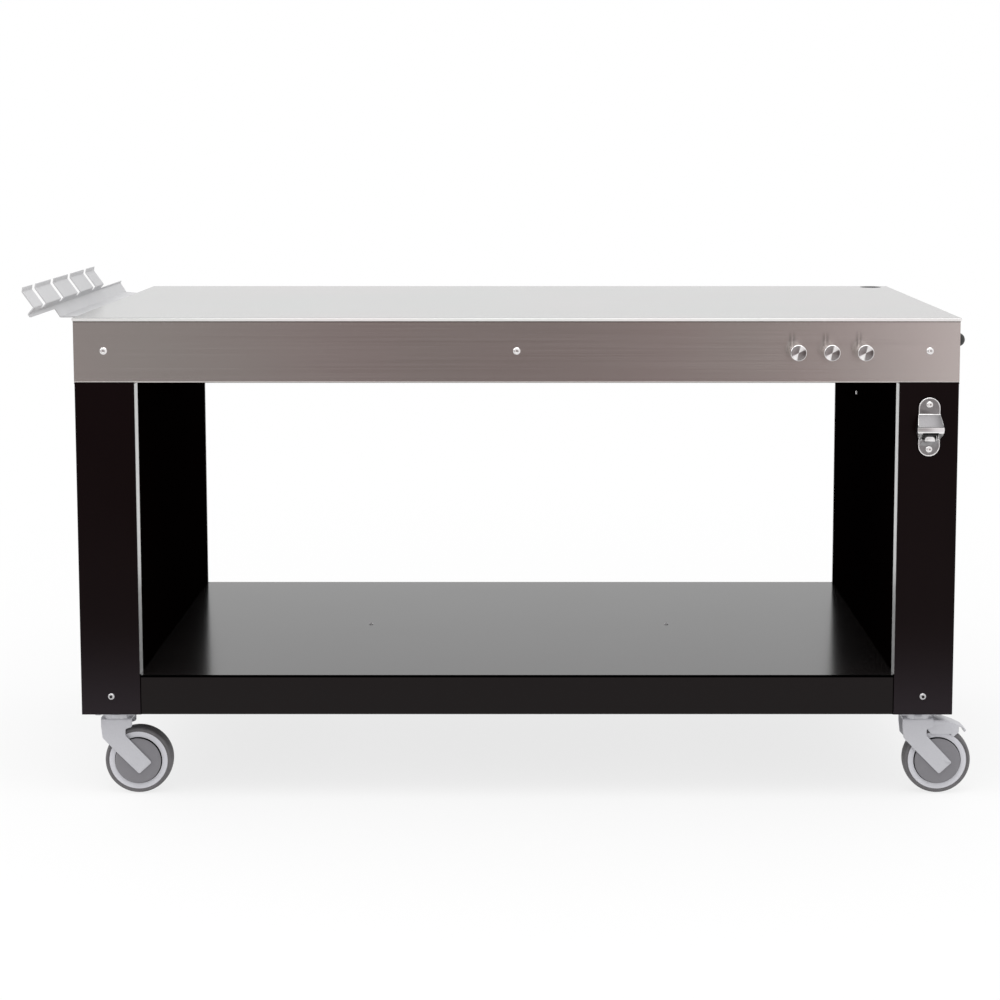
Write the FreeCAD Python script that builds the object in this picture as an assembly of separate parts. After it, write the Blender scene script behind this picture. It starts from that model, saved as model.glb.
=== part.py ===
import FreeCAD, Part
import math
import os

# Outdoor pizza oven table: a stainless worktop and apron on two black sheet
# pedestals, a lower shelf, a tool rack on the left, a bottle opener on the
# right leg and four swivel casters. Millimetres, Z up, the front faces -Y.
# Everything is laid out round the middle of the table on the floor.

# Where the table's middle lies in the part's own frame. The rack reaches out
# on the left and the pins on the front, so the middle of the whole is elsewhere.
table_middle_x = 16.6
table_middle_y = 25.5

# Worktop, one sheet with a folded lip
top_length = 1600.0
top_depth = 800.0
top_height = 890.0
top_wall = 2.0
lip_drop = 6.0
lip_bend = 2.6

# Apron channels nested inside the lip
apron_drop = 118.0
apron_wall = 1.5
apron_flange = 30.0
sheet_bend = 3.0

# Channels stiffening the worktop and the shelf
stiffener_pitch = 480.0
stiffener_count = 3
stiffener_height = 40.0
stiffener_width = 50.0
stiffener_foot = 18.0
shelf_stiffener_x = 298.0
shelf_stiffener_height = 32.0

# Pedestals
pedestal_foot = 160.0
pedestal_width = 108.0
cover_wall = 1.5
base_plate_wall = 4.0
top_plate_wall = 2.0
post_depth = 45.5
post_wall = 2.0
post_return = 78.0
inner_panel_recess = 1.5
inner_panel_return = 20.0

# Lower shelf on two rails
rail_height = 74.0
rail_wall = 1.5
rail_flange = 30.0
rail_seam = 2.0
shelf_wall = 1.5

# Screws
apron_screw_from_end = 56.0
apron_screw_drop = 60.0
apron_screw_head_r = 7.0
foot_screw_from_end = 57.0
foot_screw_rise = 34.0
foot_screw_head_r = 6.5
shelf_screw_head_r = 4.0
opener_screw_head_r = 6.5
rack_screw_head_r = 5.5
rack_screw_drop = 28.0
shank_ratio = 0.45
screw_length = 14.0
screw_clearance = 0.2

# Hook pins with spun heads
pin_from_end = 177.0
pin_pitch = 60.0
pin_count = 3
pin_head_r = 14.5
pin_head_depth = 8.0
pin_reach = 38.0
pin_stem_r = 6.0
pin_collar_r = 9.0
pin_collar_depth = 3.0
pin_stud_r = 3.0

# Buffer knob on the right end
knob_r = 12.5
knob_reach = 20.0
knob_from_front = 60.0
knob_drop = 45.0
knob_stud_r = 4.0

# Cable grommet in the worktop
grommet_from_end = 41.0
grommet_from_rear = 32.0
grommet_rim_r = 22.0
grommet_clip_r = 25.0
grommet_clip_wall = 2.0
grommet_sleeve_r = 20.0
grommet_bore_r = 15.0
grommet_depth = 16.0
grommet_cap_r = 18.0
grommet_cap_wall = 3.0
grommet_clearance = 0.2

# Tool rack, one folded sheet; the folds are given out from the side of the
# table and up from the worktop
rack_wall = 2.0
rack_lip = (71.6, 58.5)
rack_crest = (73.0, 50.5)
rack_valley = (53.0, 22.5)
rack_shoulder = (63.6, 10.3)
rack_heel = (51.0, -9.5)
rack_tail_drop = 58.0
rack_bend = 2.6
rack_comb_start = -52.0
rack_comb_end = 540.0
rack_plate_start = 139.0
rack_plate_end = 761.0
rack_slot_first = 29.0
rack_slot_pitch = 141.5
rack_slot_count = 4
rack_slot_width = 26.0
rack_slot_foot = 8.0
rack_screw_inset = 60.0
rack_screw_count = 3

# Bottle opener, one casting
opener_from_end = 55.5
opener_head_drop = 144.0
opener_height = 107.0
opener_width = 39.0
opener_plate = 3.5
opener_hood_drop = 31.0
opener_hood_height = 33.5
opener_hood_width = 49.0
opener_hood_reach = 22.0
opener_cheek = 3.2
opener_mouth_width = 28.0
opener_mouth_height = 12.5
opener_tooth_width = 18.0
opener_tooth_reach = 9.0
opener_tooth_rise = 7.0
opener_screw_inset = 13.0

# Casters
wheel_r = 62.5
tyre_width = 32.0
tyre_seat_r = 54.0
tyre_side_r = 55.5
tyre_step = 2.0
core_rim_r = 44.0
core_width = 29.0
core_web = 8.0
hub_r = 16.0
hub_width = 33.8
axle_r = 6.0
axle_clearance = 0.06
guard_r = 42.4
guard_wall = 2.7
fork_gap = 40.0
fork_wall = 3.0
fork_web_top = 145.0
head_r = 28.5
head_height = 11.0
caster_trail = 38.0
caster_from_end = 59.0
caster_from_side = 55.0
plate_wall = 4.0
plate_length = 95.0
plate_width = 86.0
plate_corner = 10.0
race_r = 25.0
race_gap = 0.3
kingpin_r = 6.0
kingpin_clearance = 0.06
kingpin_head_r = 11.0
kingpin_head_height = 4.0
bolt_x = 30.0
bolt_y = 33.0
bolt_r = 4.0
bolt_head_r = 7.5
bolt_head_height = 5.3
bolt_clearance = 0.3

# Brake pedal
pedal_wall = 2.3
pedal_side_gap = 0.5
pedal_pivot = (18.0, 133.5)
pedal_pin_r = 3.0
pedal_pin_clearance = 0.06


def v(x, y, z):
    return FreeCAD.Vector(x, y, z)


def moved(shape, x=0.0, y=0.0, z=0.0):
    copy = shape.copy()
    copy.translate(v(x, y, z))
    return copy


def mirrored_x(shape):
    return shape.mirror(v(0, 0, 0), v(1, 0, 0))


def mirrored_y(shape):
    return shape.mirror(v(0, 0, 0), v(0, 1, 0))


def box(x0, x1, y0, y1, z0, z1):
    return Part.makeBox(x1 - x0, y1 - y0, z1 - z0, v(x0, y0, z0))


def rod(radius, start, axis, length):
    return Part.makeCylinder(radius, length, start, axis)


def rounded_line(points, radius):
    """A wire through the points, with a tangent arc at each inner corner."""
    edges = []
    last = points[0]
    for before, corner, after in zip(points, points[1:], points[2:]):
        back = (before - corner).normalize()
        ahead = (after - corner).normalize()
        half = back.getAngle(ahead) / 2.0
        run = radius / math.tan(half)
        middle = (back + ahead).normalize()
        start = corner + back * run
        end = corner + ahead * run
        bulge = corner + middle * (radius / math.sin(half) - radius)
        edges.append(Part.makeLine(last, start))
        edges.append(Part.Arc(start, bulge, end).toShape())
        last = end
    edges.append(Part.makeLine(last, points[-1]))
    return Part.Wire(edges)


def folded_sheet(points, wall, radius, run):
    """A sheet folded along the points, its wall on their left, pulled along run."""
    outer = rounded_line(points, radius)
    normal = FreeCAD.Vector(run).normalize()
    sides = []
    for first, second in zip(points, points[1:]):
        sides.append(normal.cross((second - first).normalize()))
    inner_points = [points[0] + sides[0] * wall]
    for corner, left, right in zip(points[1:], sides, sides[1:]):
        share = wall / (1.0 + left.dot(right))
        inner_points.append(corner + (left + right) * share)
    inner_points.append(points[-1] + sides[-1] * wall)
    edges = list(outer.Edges)
    last = inner_points[0]
    inner_edges = []
    triples = zip(points, points[1:], points[2:])
    for (before, corner, after), inner in zip(triples, inner_points[1:]):
        back = (before - corner).normalize()
        ahead = (after - corner).normalize()
        turn = normal.dot((corner - before).normalize().cross(ahead))
        inner_radius = radius - wall if turn > 0 else radius + wall
        half = back.getAngle(ahead) / 2.0
        reach = inner_radius / math.tan(half)
        middle = (back + ahead).normalize()
        start = inner + back * reach
        end = inner + ahead * reach
        bulge = inner + middle * (inner_radius / math.sin(half) - inner_radius)
        inner_edges.append(Part.makeLine(last, start))
        inner_edges.append(Part.Arc(start, bulge, end).toShape())
        last = end
    inner_edges.append(Part.makeLine(last, inner_points[-1]))
    edges += inner_edges
    edges.append(Part.makeLine(points[0], inner_points[0]))
    edges.append(Part.makeLine(points[-1], inner_points[-1]))
    face = Part.Face(Part.Wire(Part.__sortEdges__(edges)))
    return face.extrude(run)


def outline(points, run):
    """A flat plate with straight sides, pulled along run."""
    return Part.Face(Part.makePolygon(points + points[:1])).extrude(run)


def rounded_outline(points, radii, run):
    """A flat plate whose corners have the radii given, pulled along run."""
    edges = []
    first = None
    last = None
    count = len(points)
    for index, (corner, radius) in enumerate(zip(points, radii)):
        back = (points[index - 1] - corner).normalize()
        ahead = (points[(index + 1) % count] - corner).normalize()
        half = back.getAngle(ahead) / 2.0
        reach = radius / math.tan(half)
        start = corner + back * reach
        end = corner + ahead * reach
        if last is not None:
            edges.append(Part.makeLine(last, start))
        else:
            first = start
        if radius:
            middle = (back + ahead).normalize()
            bulge = corner + middle * (radius / math.sin(half) - radius)
            edges.append(Part.Arc(start, bulge, end).toShape())
        last = end
    edges.append(Part.makeLine(last, first))
    return Part.Face(Part.Wire(edges)).extrude(run)


def turned(profile, centre, axis):
    """A turned piece: profile is (distance along axis, radius) from the seat."""
    side = v(0, 0, 1) if abs(axis.z) < 0.5 else v(1, 0, 0)
    points = [centre + axis * along + side * radius for along, radius in profile]
    face = Part.Face(Part.makePolygon(points + points[:1]))
    return face.revolve(centre, axis, 360)


def screw(centre, axis, head_r, length):
    """A round-headed screw seated at centre, its head on the side axis names."""
    dome = head_r * 0.5
    ball_r = (head_r ** 2 + dome ** 2) / (2.0 * dome)
    ball = Part.makeSphere(ball_r, centre + axis * (dome - ball_r))
    head = rod(head_r, centre, axis, dome).common(ball)
    recess = rod(head_r * 0.38, centre + axis * (dome * 0.55), axis, dome)
    shank = rod(head_r * shank_ratio, centre - axis * length, axis, length)
    return head.cut(recess).fuse(shank).removeSplitter()


def screw_hole(centre, axis, head_r, length):
    radius = head_r * shank_ratio + screw_clearance
    return rod(radius, centre - axis * length, axis, 2.0 * length)


def hexagon(radius, centre, height):
    corners = []
    for side in range(6):
        angle = math.radians(60.0 * side)
        corners.append(centre + v(radius * math.cos(angle), radius * math.sin(angle), 0))
    return outline(corners, v(0, 0, height))


# Levels and faces that the pieces share
front = -top_depth / 2.0
rear = top_depth / 2.0
right_end = top_length / 2.0
sheet_under = top_height - top_wall
apron_face = front + top_wall
apron_end = right_end - top_wall
apron_foot = top_height - apron_drop
cover_top = apron_foot - top_plate_wall
pedestal_inner = apron_end - pedestal_width
post_front = apron_face + cover_wall
post_rear = post_front + post_depth
base_foot = pedestal_foot + plate_wall
base_top = base_foot + base_plate_wall
shelf_top = pedestal_foot + rail_height
rail_top = shelf_top - shelf_wall
screw_z = top_height - apron_screw_drop
apron_screw_x = right_end - apron_screw_from_end
foot_screw_x = right_end - foot_screw_from_end
opener_x = right_end - opener_from_end
foot_screw_z = pedestal_foot + foot_screw_rise
facing = v(0, -1, 0)
up = v(0, 0, 1)


# Worktop: a sheet with its lip folded down all round, open underneath
grommet_x = right_end - grommet_from_end
grommet_y = rear - grommet_from_rear
sheet = box(-right_end, right_end, front, rear, top_height - lip_drop, top_height)
soft_edges = [e for e in sheet.Edges if e.BoundBox.ZMax > top_height - 0.1]
sheet = sheet.makeFillet(lip_bend, soft_edges)
open_face = min(sheet.Faces, key=lambda f: f.CenterOfMass.z)
sheet = sheet.makeThickness([open_face], -top_wall, 0.001)
grommet_seat = v(grommet_x, grommet_y, top_height)
rim_hole = rod(grommet_rim_r + grommet_clearance, grommet_seat - up * 20.0, up, 40.0)
grommet_hole = rod(grommet_clip_r + grommet_clearance, grommet_seat - up * 20.0, up, 40.0)
worktop = sheet.cut(rim_hole)

# Apron: four folded channels nested in the lip, screwed through their faces
channel = [
    v(0, apron_face + apron_flange, sheet_under),
    v(0, apron_face, sheet_under),
    v(0, apron_face, apron_foot),
    v(0, apron_face + apron_flange, apron_foot),
]
screw_places = [-apron_screw_x, 0.0, apron_screw_x]
pin_places = [right_end - pin_from_end - pin_pitch * count for count in range(pin_count)]
pin_z = screw_z
long_channel = folded_sheet(
    [p - v(apron_end, 0, 0) for p in channel],
    apron_wall,
    sheet_bend,
    v(2.0 * apron_end, 0, 0),
)
web_inside = apron_face + apron_wall
for side in (-1, 1):
    outer = side * apron_end
    inner = side * (apron_end - apron_wall)
    notch = box(min(outer, inner), max(outer, inner), web_inside, 0, apron_foot, sheet_under)
    long_channel = long_channel.cut(notch)
for place in screw_places:
    hole = screw_hole(v(place, apron_face, screw_z), facing, apron_screw_head_r, screw_length)
    long_channel = long_channel.cut(hole)
apron_rear = mirrored_y(long_channel).cut(grommet_hole)
apron_front = long_channel
for place in pin_places:
    hole = rod(pin_stud_r + screw_clearance, v(place, front - 5, pin_z), v(0, 1, 0), 20)
    apron_front = apron_front.cut(hole)

side_channel = [
    v(apron_end - apron_flange, 0, sheet_under),
    v(apron_end, 0, sheet_under),
    v(apron_end, 0, apron_foot),
    v(apron_end - apron_flange, 0, apron_foot),
]
side_apron = folded_sheet(
    [p + v(0, web_inside, 0) for p in side_channel],
    apron_wall,
    sheet_bend,
    v(0, -2.0 * web_inside, 0),
)
flange_ends = apron_end - apron_wall
for side in (-1, 1):
    y0 = side * (rear - top_wall - apron_flange)
    y1 = side * rear
    side_apron = side_apron.cut(
        box(0, flange_ends, min(y0, y1), max(y0, y1), apron_foot, sheet_under)
    )
apron_right = side_apron.cut(grommet_hole)
apron_left = mirrored_x(side_apron)

# Hat channels under the worktop, between the apron flanges
hat_end = rear - top_wall - apron_flange


def hat(x, height, top):
    half = stiffener_width / 2.0
    start = -hat_end
    points = [
        v(x - half - stiffener_foot, start, top),
        v(x - half, start, top),
        v(x - half, start, top - height),
        v(x + half, start, top - height),
        v(x + half, start, top),
        v(x + half + stiffener_foot, start, top),
    ]
    return folded_sheet(points, apron_wall, sheet_bend, v(0, 2.0 * hat_end, 0))


middle = (stiffener_count - 1) / 2.0
worktop_stiffeners = [
    hat(stiffener_pitch * (count - middle), stiffener_height, sheet_under)
    for count in range(stiffener_count)
]

# Pedestals: a black cover folded round three sides, bare posts at the front
# and rear of the open side, a black panel between them, plates at both ends
cover_path = [
    v(pedestal_inner, apron_face, pedestal_foot),
    v(apron_end, apron_face, pedestal_foot),
    v(apron_end, -apron_face, pedestal_foot),
    v(pedestal_inner, -apron_face, pedestal_foot),
]
cover_rise = v(0, 0, cover_top - pedestal_foot)
cover_right = folded_sheet(cover_path, cover_wall, sheet_bend, cover_rise)

post_path = [
    v(pedestal_inner + post_return, post_front, base_top),
    v(pedestal_inner, post_front, base_top),
    v(pedestal_inner, post_rear, base_top),
    v(pedestal_inner + post_return, post_rear, base_top),
]
post_rise = v(0, 0, cover_top - base_top)
post = folded_sheet(post_path[::-1], post_wall, sheet_bend, post_rise)

panel_face = pedestal_inner + inner_panel_recess
panel_path = [
    v(panel_face + inner_panel_return, -post_rear, base_top),
    v(panel_face, -post_rear, base_top),
    v(panel_face, post_rear, base_top),
    v(panel_face + inner_panel_return, post_rear, base_top),
]
panel_right = folded_sheet(panel_path, cover_wall, sheet_bend, post_rise)

for x in (foot_screw_x,):
    for y, axis in ((apron_face, facing), (-apron_face, -facing)):
        hole = screw_hole(v(x, y, foot_screw_z), axis, foot_screw_head_r, screw_length)
        cover_right = cover_right.cut(hole)
        if y < 0:
            post = post.cut(hole)
posts = [post, mirrored_y(post), mirrored_x(post), mirrored_x(mirrored_y(post))]
cover_left = mirrored_x(cover_right)
panel_left = mirrored_x(panel_right)

caster_x = right_end - caster_from_end
caster_y = rear - caster_from_side
base_right = box(
    pedestal_inner,
    apron_end - cover_wall,
    post_front,
    -post_front,
    base_foot,
    base_top,
)
base_round = sheet_bend - cover_wall
base_right = base_right.makeFillet(
    base_round,
    [
        e
        for e in base_right.Edges
        if e.BoundBox.XMin > apron_end - cover_wall - 0.1 and e.BoundBox.ZLength > 1
    ],
)
bolt_places = [
    v(side_x * bolt_x, side_y * bolt_y, 0) for side_x in (-1, 1) for side_y in (-1, 1)
]
for side in (-1, 1):
    for place in bolt_places:
        hole = rod(
            bolt_r + bolt_clearance,
            place + v(caster_x, side * caster_y, base_foot - 1.0),
            up,
            base_plate_wall + 2.0,
        )
        base_right = base_right.cut(hole)
base_plates = [base_right, mirrored_x(base_right)]
top_right = box(
    pedestal_inner, apron_end, apron_face, -apron_face, cover_top, apron_foot
)
top_plates = [top_right, mirrored_x(top_right)]

# Lower shelf: a sheet on a channel rail at the front and at the rear
rail_end = pedestal_inner - rail_seam
rail_path = [
    v(-rail_end, apron_face + rail_flange, rail_top),
    v(-rail_end, apron_face, rail_top),
    v(-rail_end, apron_face, pedestal_foot),
    v(-rail_end, apron_face + rail_flange, pedestal_foot),
]
rail_front = folded_sheet(rail_path, rail_wall, sheet_bend, v(2.0 * rail_end, 0, 0))
rail_rear = mirrored_y(rail_front)

shelf = box(-pedestal_inner, pedestal_inner, apron_face, -apron_face, rail_top, shelf_top)
shelf_edges = [
    e
    for e in shelf.Edges
    if e.BoundBox.ZMin > shelf_top - 0.1 and e.BoundBox.XLength > top_depth
]
shelf = shelf.makeFillet(shelf_wall * 0.6, shelf_edges)
shelf_hat_end = -(apron_face + rail_flange)


def shelf_hat(x):
    half = stiffener_width / 2.0
    start = -shelf_hat_end
    low = rail_top - shelf_stiffener_height
    points = [
        v(x - half, start, low),
        v(x - half, start, rail_top),
        v(x + half, start, rail_top),
        v(x + half, start, low),
    ]
    return folded_sheet(points, rail_wall, sheet_bend, v(0, 2.0 * shelf_hat_end, 0))


shelf_screws = []
shelf_stiffeners = []
for side in (-1, 1):
    seat = v(side * shelf_stiffener_x, 0, shelf_top)
    hole = screw_hole(seat, up, shelf_screw_head_r, screw_length)
    shelf = shelf.cut(hole)
    shelf_stiffeners.append(shelf_hat(seat.x).cut(hole))
    shelf_screws.append(screw(seat, up, shelf_screw_head_r, screw_length))

# Screws through the apron and the feet of the legs
apron_screws = []
foot_screws = []
for y, axis in ((apron_face, facing), (-apron_face, -facing)):
    for x in screw_places:
        seat = v(x, y, screw_z)
        apron_screws.append(screw(seat, axis, apron_screw_head_r, screw_length))
    for x in (-foot_screw_x, foot_screw_x):
        seat = v(x, y, foot_screw_z)
        foot_screws.append(screw(seat, axis, foot_screw_head_r, screw_length))

# Hook pins: turned in one piece, collar, waisted stem and dished head
pin_profile = [
    (-screw_length, 0),
    (-screw_length, pin_stud_r),
    (0, pin_stud_r),
    (0, pin_collar_r),
    (pin_collar_depth, pin_collar_r),
    (pin_collar_depth + 1.5, pin_stem_r),
    (pin_reach - pin_head_depth - 2.0, pin_stem_r),
    (pin_reach - pin_head_depth, pin_head_r - 1.5),
    (pin_reach - pin_head_depth + 1.5, pin_head_r),
    (pin_reach - 1.2, pin_head_r),
    (pin_reach, pin_head_r - 1.2),
    (pin_reach, pin_head_r - 2.5),
    (pin_reach - 1.0, pin_head_r * 0.45),
    (pin_reach - 1.3, 0),
]
hook_pins = [turned(pin_profile, v(x, apron_face, pin_z), facing) for x in pin_places]

# Buffer knob: a domed head on a stud through the right-hand apron
knob_centre = v(apron_end, front + knob_from_front, top_height - knob_drop)
knob_collar = knob_reach - knob_r
knob_body = rod(knob_r, knob_centre, v(1, 0, 0), knob_collar)
knob_dome = Part.makeSphere(knob_r, knob_centre + v(knob_collar, 0, 0))
knob_dome = knob_dome.cut(
    box(0, apron_end + knob_collar, front, rear, 0, 2.0 * top_height)
)
knob_stud = rod(knob_stud_r, knob_centre - v(screw_length, 0, 0), v(1, 0, 0), screw_length)
buffer_knob = knob_body.fuse([knob_dome, knob_stud]).removeSplitter()
apron_right = apron_right.cut(
    rod(knob_stud_r + screw_clearance, knob_centre - v(20, 0, 0), v(1, 0, 0), 40)
)

# Cable grommet: a ring flush in the worktop, clipped under the sheet, with a
# cap closing it
ring_profile = [
    (-grommet_depth, grommet_bore_r),
    (-grommet_depth, grommet_sleeve_r),
    (-top_wall - grommet_clip_wall, grommet_sleeve_r),
    (-top_wall - grommet_clip_wall, grommet_clip_r),
    (-top_wall, grommet_clip_r),
    (-top_wall, grommet_rim_r),
    (0, grommet_rim_r),
    (0, grommet_cap_r + grommet_clearance),
    (-grommet_cap_wall, grommet_cap_r + grommet_clearance),
    (-grommet_cap_wall, grommet_bore_r),
]
cap_profile = [
    (-grommet_cap_wall, 0),
    (-grommet_cap_wall, grommet_cap_r),
    (0, grommet_cap_r),
    (0, grommet_cap_r - 3.0),
    (-1.0, grommet_cap_r - 5.0),
    (-1.0, 0),
]
cable_grommet = [turned(ring_profile, grommet_seat, up), turned(cap_profile, grommet_seat, up)]

# Tool rack: a zigzag sheet with open slots, on a longer plate that turns
# under the worktop and down the side apron
level = top_height


def rack_point(fold, y):
    return v(-(right_end + fold[0]), y, level + fold[1])


def rack_line(y, folds):
    return [rack_point(fold, y) for fold in folds]


rack_tail = (-top_wall, rack_heel[1])
rack_end = (-top_wall, rack_heel[1] - rack_tail_drop)
rack_folds = [rack_lip, rack_crest, rack_valley, rack_shoulder, rack_heel, rack_tail, rack_end]
comb_start = front + rack_comb_start
comb_end = front + rack_comb_end
plate_start = front + rack_plate_start
plate_end = front + rack_plate_end
rack_run = v(0, plate_end - comb_start, 0)
rack = folded_sheet(rack_line(comb_start, rack_folds), rack_wall, rack_bend, rack_run)
far = 400.0
shoulder = rack_point(rack_shoulder, 0)
slope = (rack_point(rack_valley, 0) - shoulder).normalize()
across = v(-slope.z, 0, slope.x)


def rack_part(y0, y1, height):
    """The space on the comb's side of the shoulder fold, from height upward."""
    start = shoulder + slope * height + v(0, y0, 0)
    corners = [
        start - across * far,
        start + across * far,
        start + across * far + slope * far,
        start - across * far + slope * far,
    ]
    above = box(-far * 10, 0, y0, y1, level + rack_shoulder[1] / 2.0, level + far)
    return outline(corners, v(0, y1 - y0, 0)).common(above)


comb_space = rack_part(comb_end, plate_end + 1.0, rack_slot_foot / 2.0)
rack = rack.cut(comb_space)
plate_space = rack_part(comb_start - 1.0, plate_start, -rack_wall)
front_piece = box(-far * 10, 0, comb_start - 1.0, plate_start, 0, level + far)
front_piece = front_piece.cut(plate_space)
rack = rack.cut(front_piece)
for count in range(rack_slot_count):
    slot_y = front + rack_slot_first + rack_slot_pitch * count
    half = rack_slot_width / 2.0
    rack = rack.cut(rack_part(slot_y - half, slot_y + half, rack_slot_foot))
rack_screws = []
rack_screw_z = top_height + rack_heel[1] - rack_screw_drop
rack_outside = v(-1, 0, 0)
rack_span = rack_plate_end - rack_plate_start - 2.0 * rack_screw_inset
for count in range(rack_screw_count):
    y = plate_start + rack_screw_inset + rack_span * count / (rack_screw_count - 1.0)
    seat = v(-(apron_end + rack_wall), y, rack_screw_z)
    hole = screw_hole(seat, rack_outside, rack_screw_head_r, screw_length)
    rack = rack.cut(hole)
    apron_left = apron_left.cut(hole)
    rack_screws.append(screw(seat, rack_outside, rack_screw_head_r, screw_length))

# Bottle opener: a round-ended plate, a hood that stands out over the mouth,
# a cheek on each side and a half-round tooth under the hood
opener_top = top_height - opener_head_drop
opener_foot = opener_top - opener_height
opener_r = opener_width / 2.0
opener_face = apron_face - opener_plate
plate_middle = v(opener_x, apron_face, opener_foot + opener_r)
plate_low = rod(opener_r, plate_middle, facing, opener_plate)
plate_high = rod(opener_r, v(opener_x, apron_face, opener_top - opener_r), facing, opener_plate)
plate_body = box(
    opener_x - opener_r,
    opener_x + opener_r,
    opener_face,
    apron_face,
    opener_foot + opener_r,
    opener_top - opener_r,
)
hood_top = opener_top - opener_hood_drop
hood_foot = hood_top - opener_hood_height
cheek_foot = hood_foot - opener_mouth_height
hood_front = apron_face - opener_hood_reach
hood_half = opener_hood_width / 2.0
hood_side = [
    v(opener_x - hood_half, opener_face + 1.0, hood_top),
    v(opener_x - hood_half, opener_face - 1.2, hood_top),
    v(opener_x - hood_half, hood_front + 2.0, hood_top - 18.0),
    v(opener_x - hood_half, hood_front, hood_top - 21.0),
    v(opener_x - hood_half, hood_front, hood_foot + 3.0),
    v(opener_x - hood_half, hood_front + 3.0, hood_foot),
    v(opener_x - hood_half, opener_face - 2.0, cheek_foot),
    v(opener_x - hood_half, opener_face + 1.0, cheek_foot),
]
hood = outline(hood_side, v(opener_hood_width, 0, 0))
hood_shape = [
    v(opener_x - opener_r - 1.0, 0, hood_top),
    v(opener_x + opener_r + 1.0, 0, hood_top),
    v(opener_x + hood_half, 0, hood_foot + 8.0),
    v(opener_x + hood_half - 1.0, 0, hood_foot),
    v(opener_x + opener_r - 0.5, 0, cheek_foot),
    v(opener_x - opener_r + 0.5, 0, cheek_foot),
    v(opener_x - hood_half + 1.0, 0, hood_foot),
    v(opener_x - hood_half, 0, hood_foot + 8.0),
]
hood = hood.common(outline([p + v(0, rear, 0) for p in hood_shape], v(0, -2.0 * top_depth, 0)))
mouth_half = opener_mouth_width / 2.0
mouth_side = [
    v(opener_x - mouth_half, opener_face, hood_top - 5.0),
    v(opener_x - mouth_half, hood_front + 5.0, hood_top - 20.5),
    v(opener_x - mouth_half, hood_front + opener_cheek, hood_top - 24.0),
    v(opener_x - mouth_half, hood_front + opener_cheek, hood_foot - 1.0),
    v(opener_x - mouth_half, hood_front - 5.0, hood_foot - 1.0),
    v(opener_x - mouth_half, hood_front - 5.0, cheek_foot - 5.0),
    v(opener_x - mouth_half, opener_face, cheek_foot - 5.0),
]
mouth = outline(mouth_side, v(2.0 * mouth_half, 0, 0))
tooth_base = v(opener_x, opener_face + 1.0, cheek_foot)
tooth = rod(opener_tooth_width / 2.0, tooth_base, facing, opener_tooth_reach + 1.0)
tooth = tooth.common(
    box(0, top_length, -top_depth, 0, cheek_foot - 2.0, cheek_foot + opener_tooth_rise)
)
opener = plate_body.fuse([plate_low, plate_high, hood]).cut(mouth).fuse(tooth)
opener_screws = []
for z in (opener_top - opener_screw_inset, opener_foot + opener_screw_inset):
    seat = v(opener_x, opener_face, z)
    hole = screw_hole(seat, facing, opener_screw_head_r, screw_length)
    opener = opener.cut(hole)
    cover_right = cover_right.cut(hole)
    posts[0] = posts[0].cut(hole)
    opener_screws.append(screw(seat, facing, opener_screw_head_r, screw_length))
opener = opener.removeSplitter()

# Casters, drawn with the swivel axis on the Z axis and the wheel trailing
# towards +X, then set at the four corners
along = v(0, 1, 0)
axle_z = wheel_r
head_top = fork_web_top + head_height
race_under = head_top + race_gap
web_under = fork_web_top - fork_wall
kingpin_head_top = web_under - race_gap

mount_plate = box(
    -plate_width / 2.0,
    plate_width / 2.0,
    -plate_length / 2.0,
    plate_length / 2.0,
    pedestal_foot,
    base_foot,
)
mount_plate = mount_plate.makeFillet(
    plate_corner, [e for e in mount_plate.Edges if e.BoundBox.ZLength > plate_wall - 0.1]
)
race = Part.makeCone(race_r, race_r + 3.0, pedestal_foot - race_under, v(0, 0, race_under))
mount_plate = mount_plate.fuse(race)
mount_plate = mount_plate.cut(rod(kingpin_r, v(0, 0, race_under), up, pedestal_foot))
for place in bolt_places:
    hole = rod(bolt_r + bolt_clearance, place + v(0, 0, pedestal_foot - 1), up, plate_wall + 2)
    mount_plate = mount_plate.cut(hole)
mount_plate = mount_plate.removeSplitter()

kingpin_shank = rod(kingpin_r, v(0, 0, kingpin_head_top), up, base_foot - kingpin_head_top)
kingpin_head = rod(
    kingpin_head_r, v(0, 0, kingpin_head_top - kingpin_head_height), up, kingpin_head_height
)
kingpin_rims = [e for e in kingpin_head.Edges if abs(e.BoundBox.ZMax - kingpin_head.BoundBox.ZMin) < 0.1]
kingpin_head = kingpin_head.makeFillet(1.2, kingpin_rims)
kingpin = kingpin_shank.fuse(kingpin_head).removeSplitter()

bolt_nut_top = base_top + bolt_head_height
caster_bolt = hexagon(bolt_head_r, v(0, 0, pedestal_foot - bolt_head_height), bolt_head_height)
caster_bolt = caster_bolt.fuse(
    [
        rod(bolt_r, v(0, 0, pedestal_foot), up, bolt_nut_top + 2.0 - pedestal_foot),
        hexagon(bolt_head_r, v(0, 0, base_top), bolt_head_height),
    ]
).removeSplitter()

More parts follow.
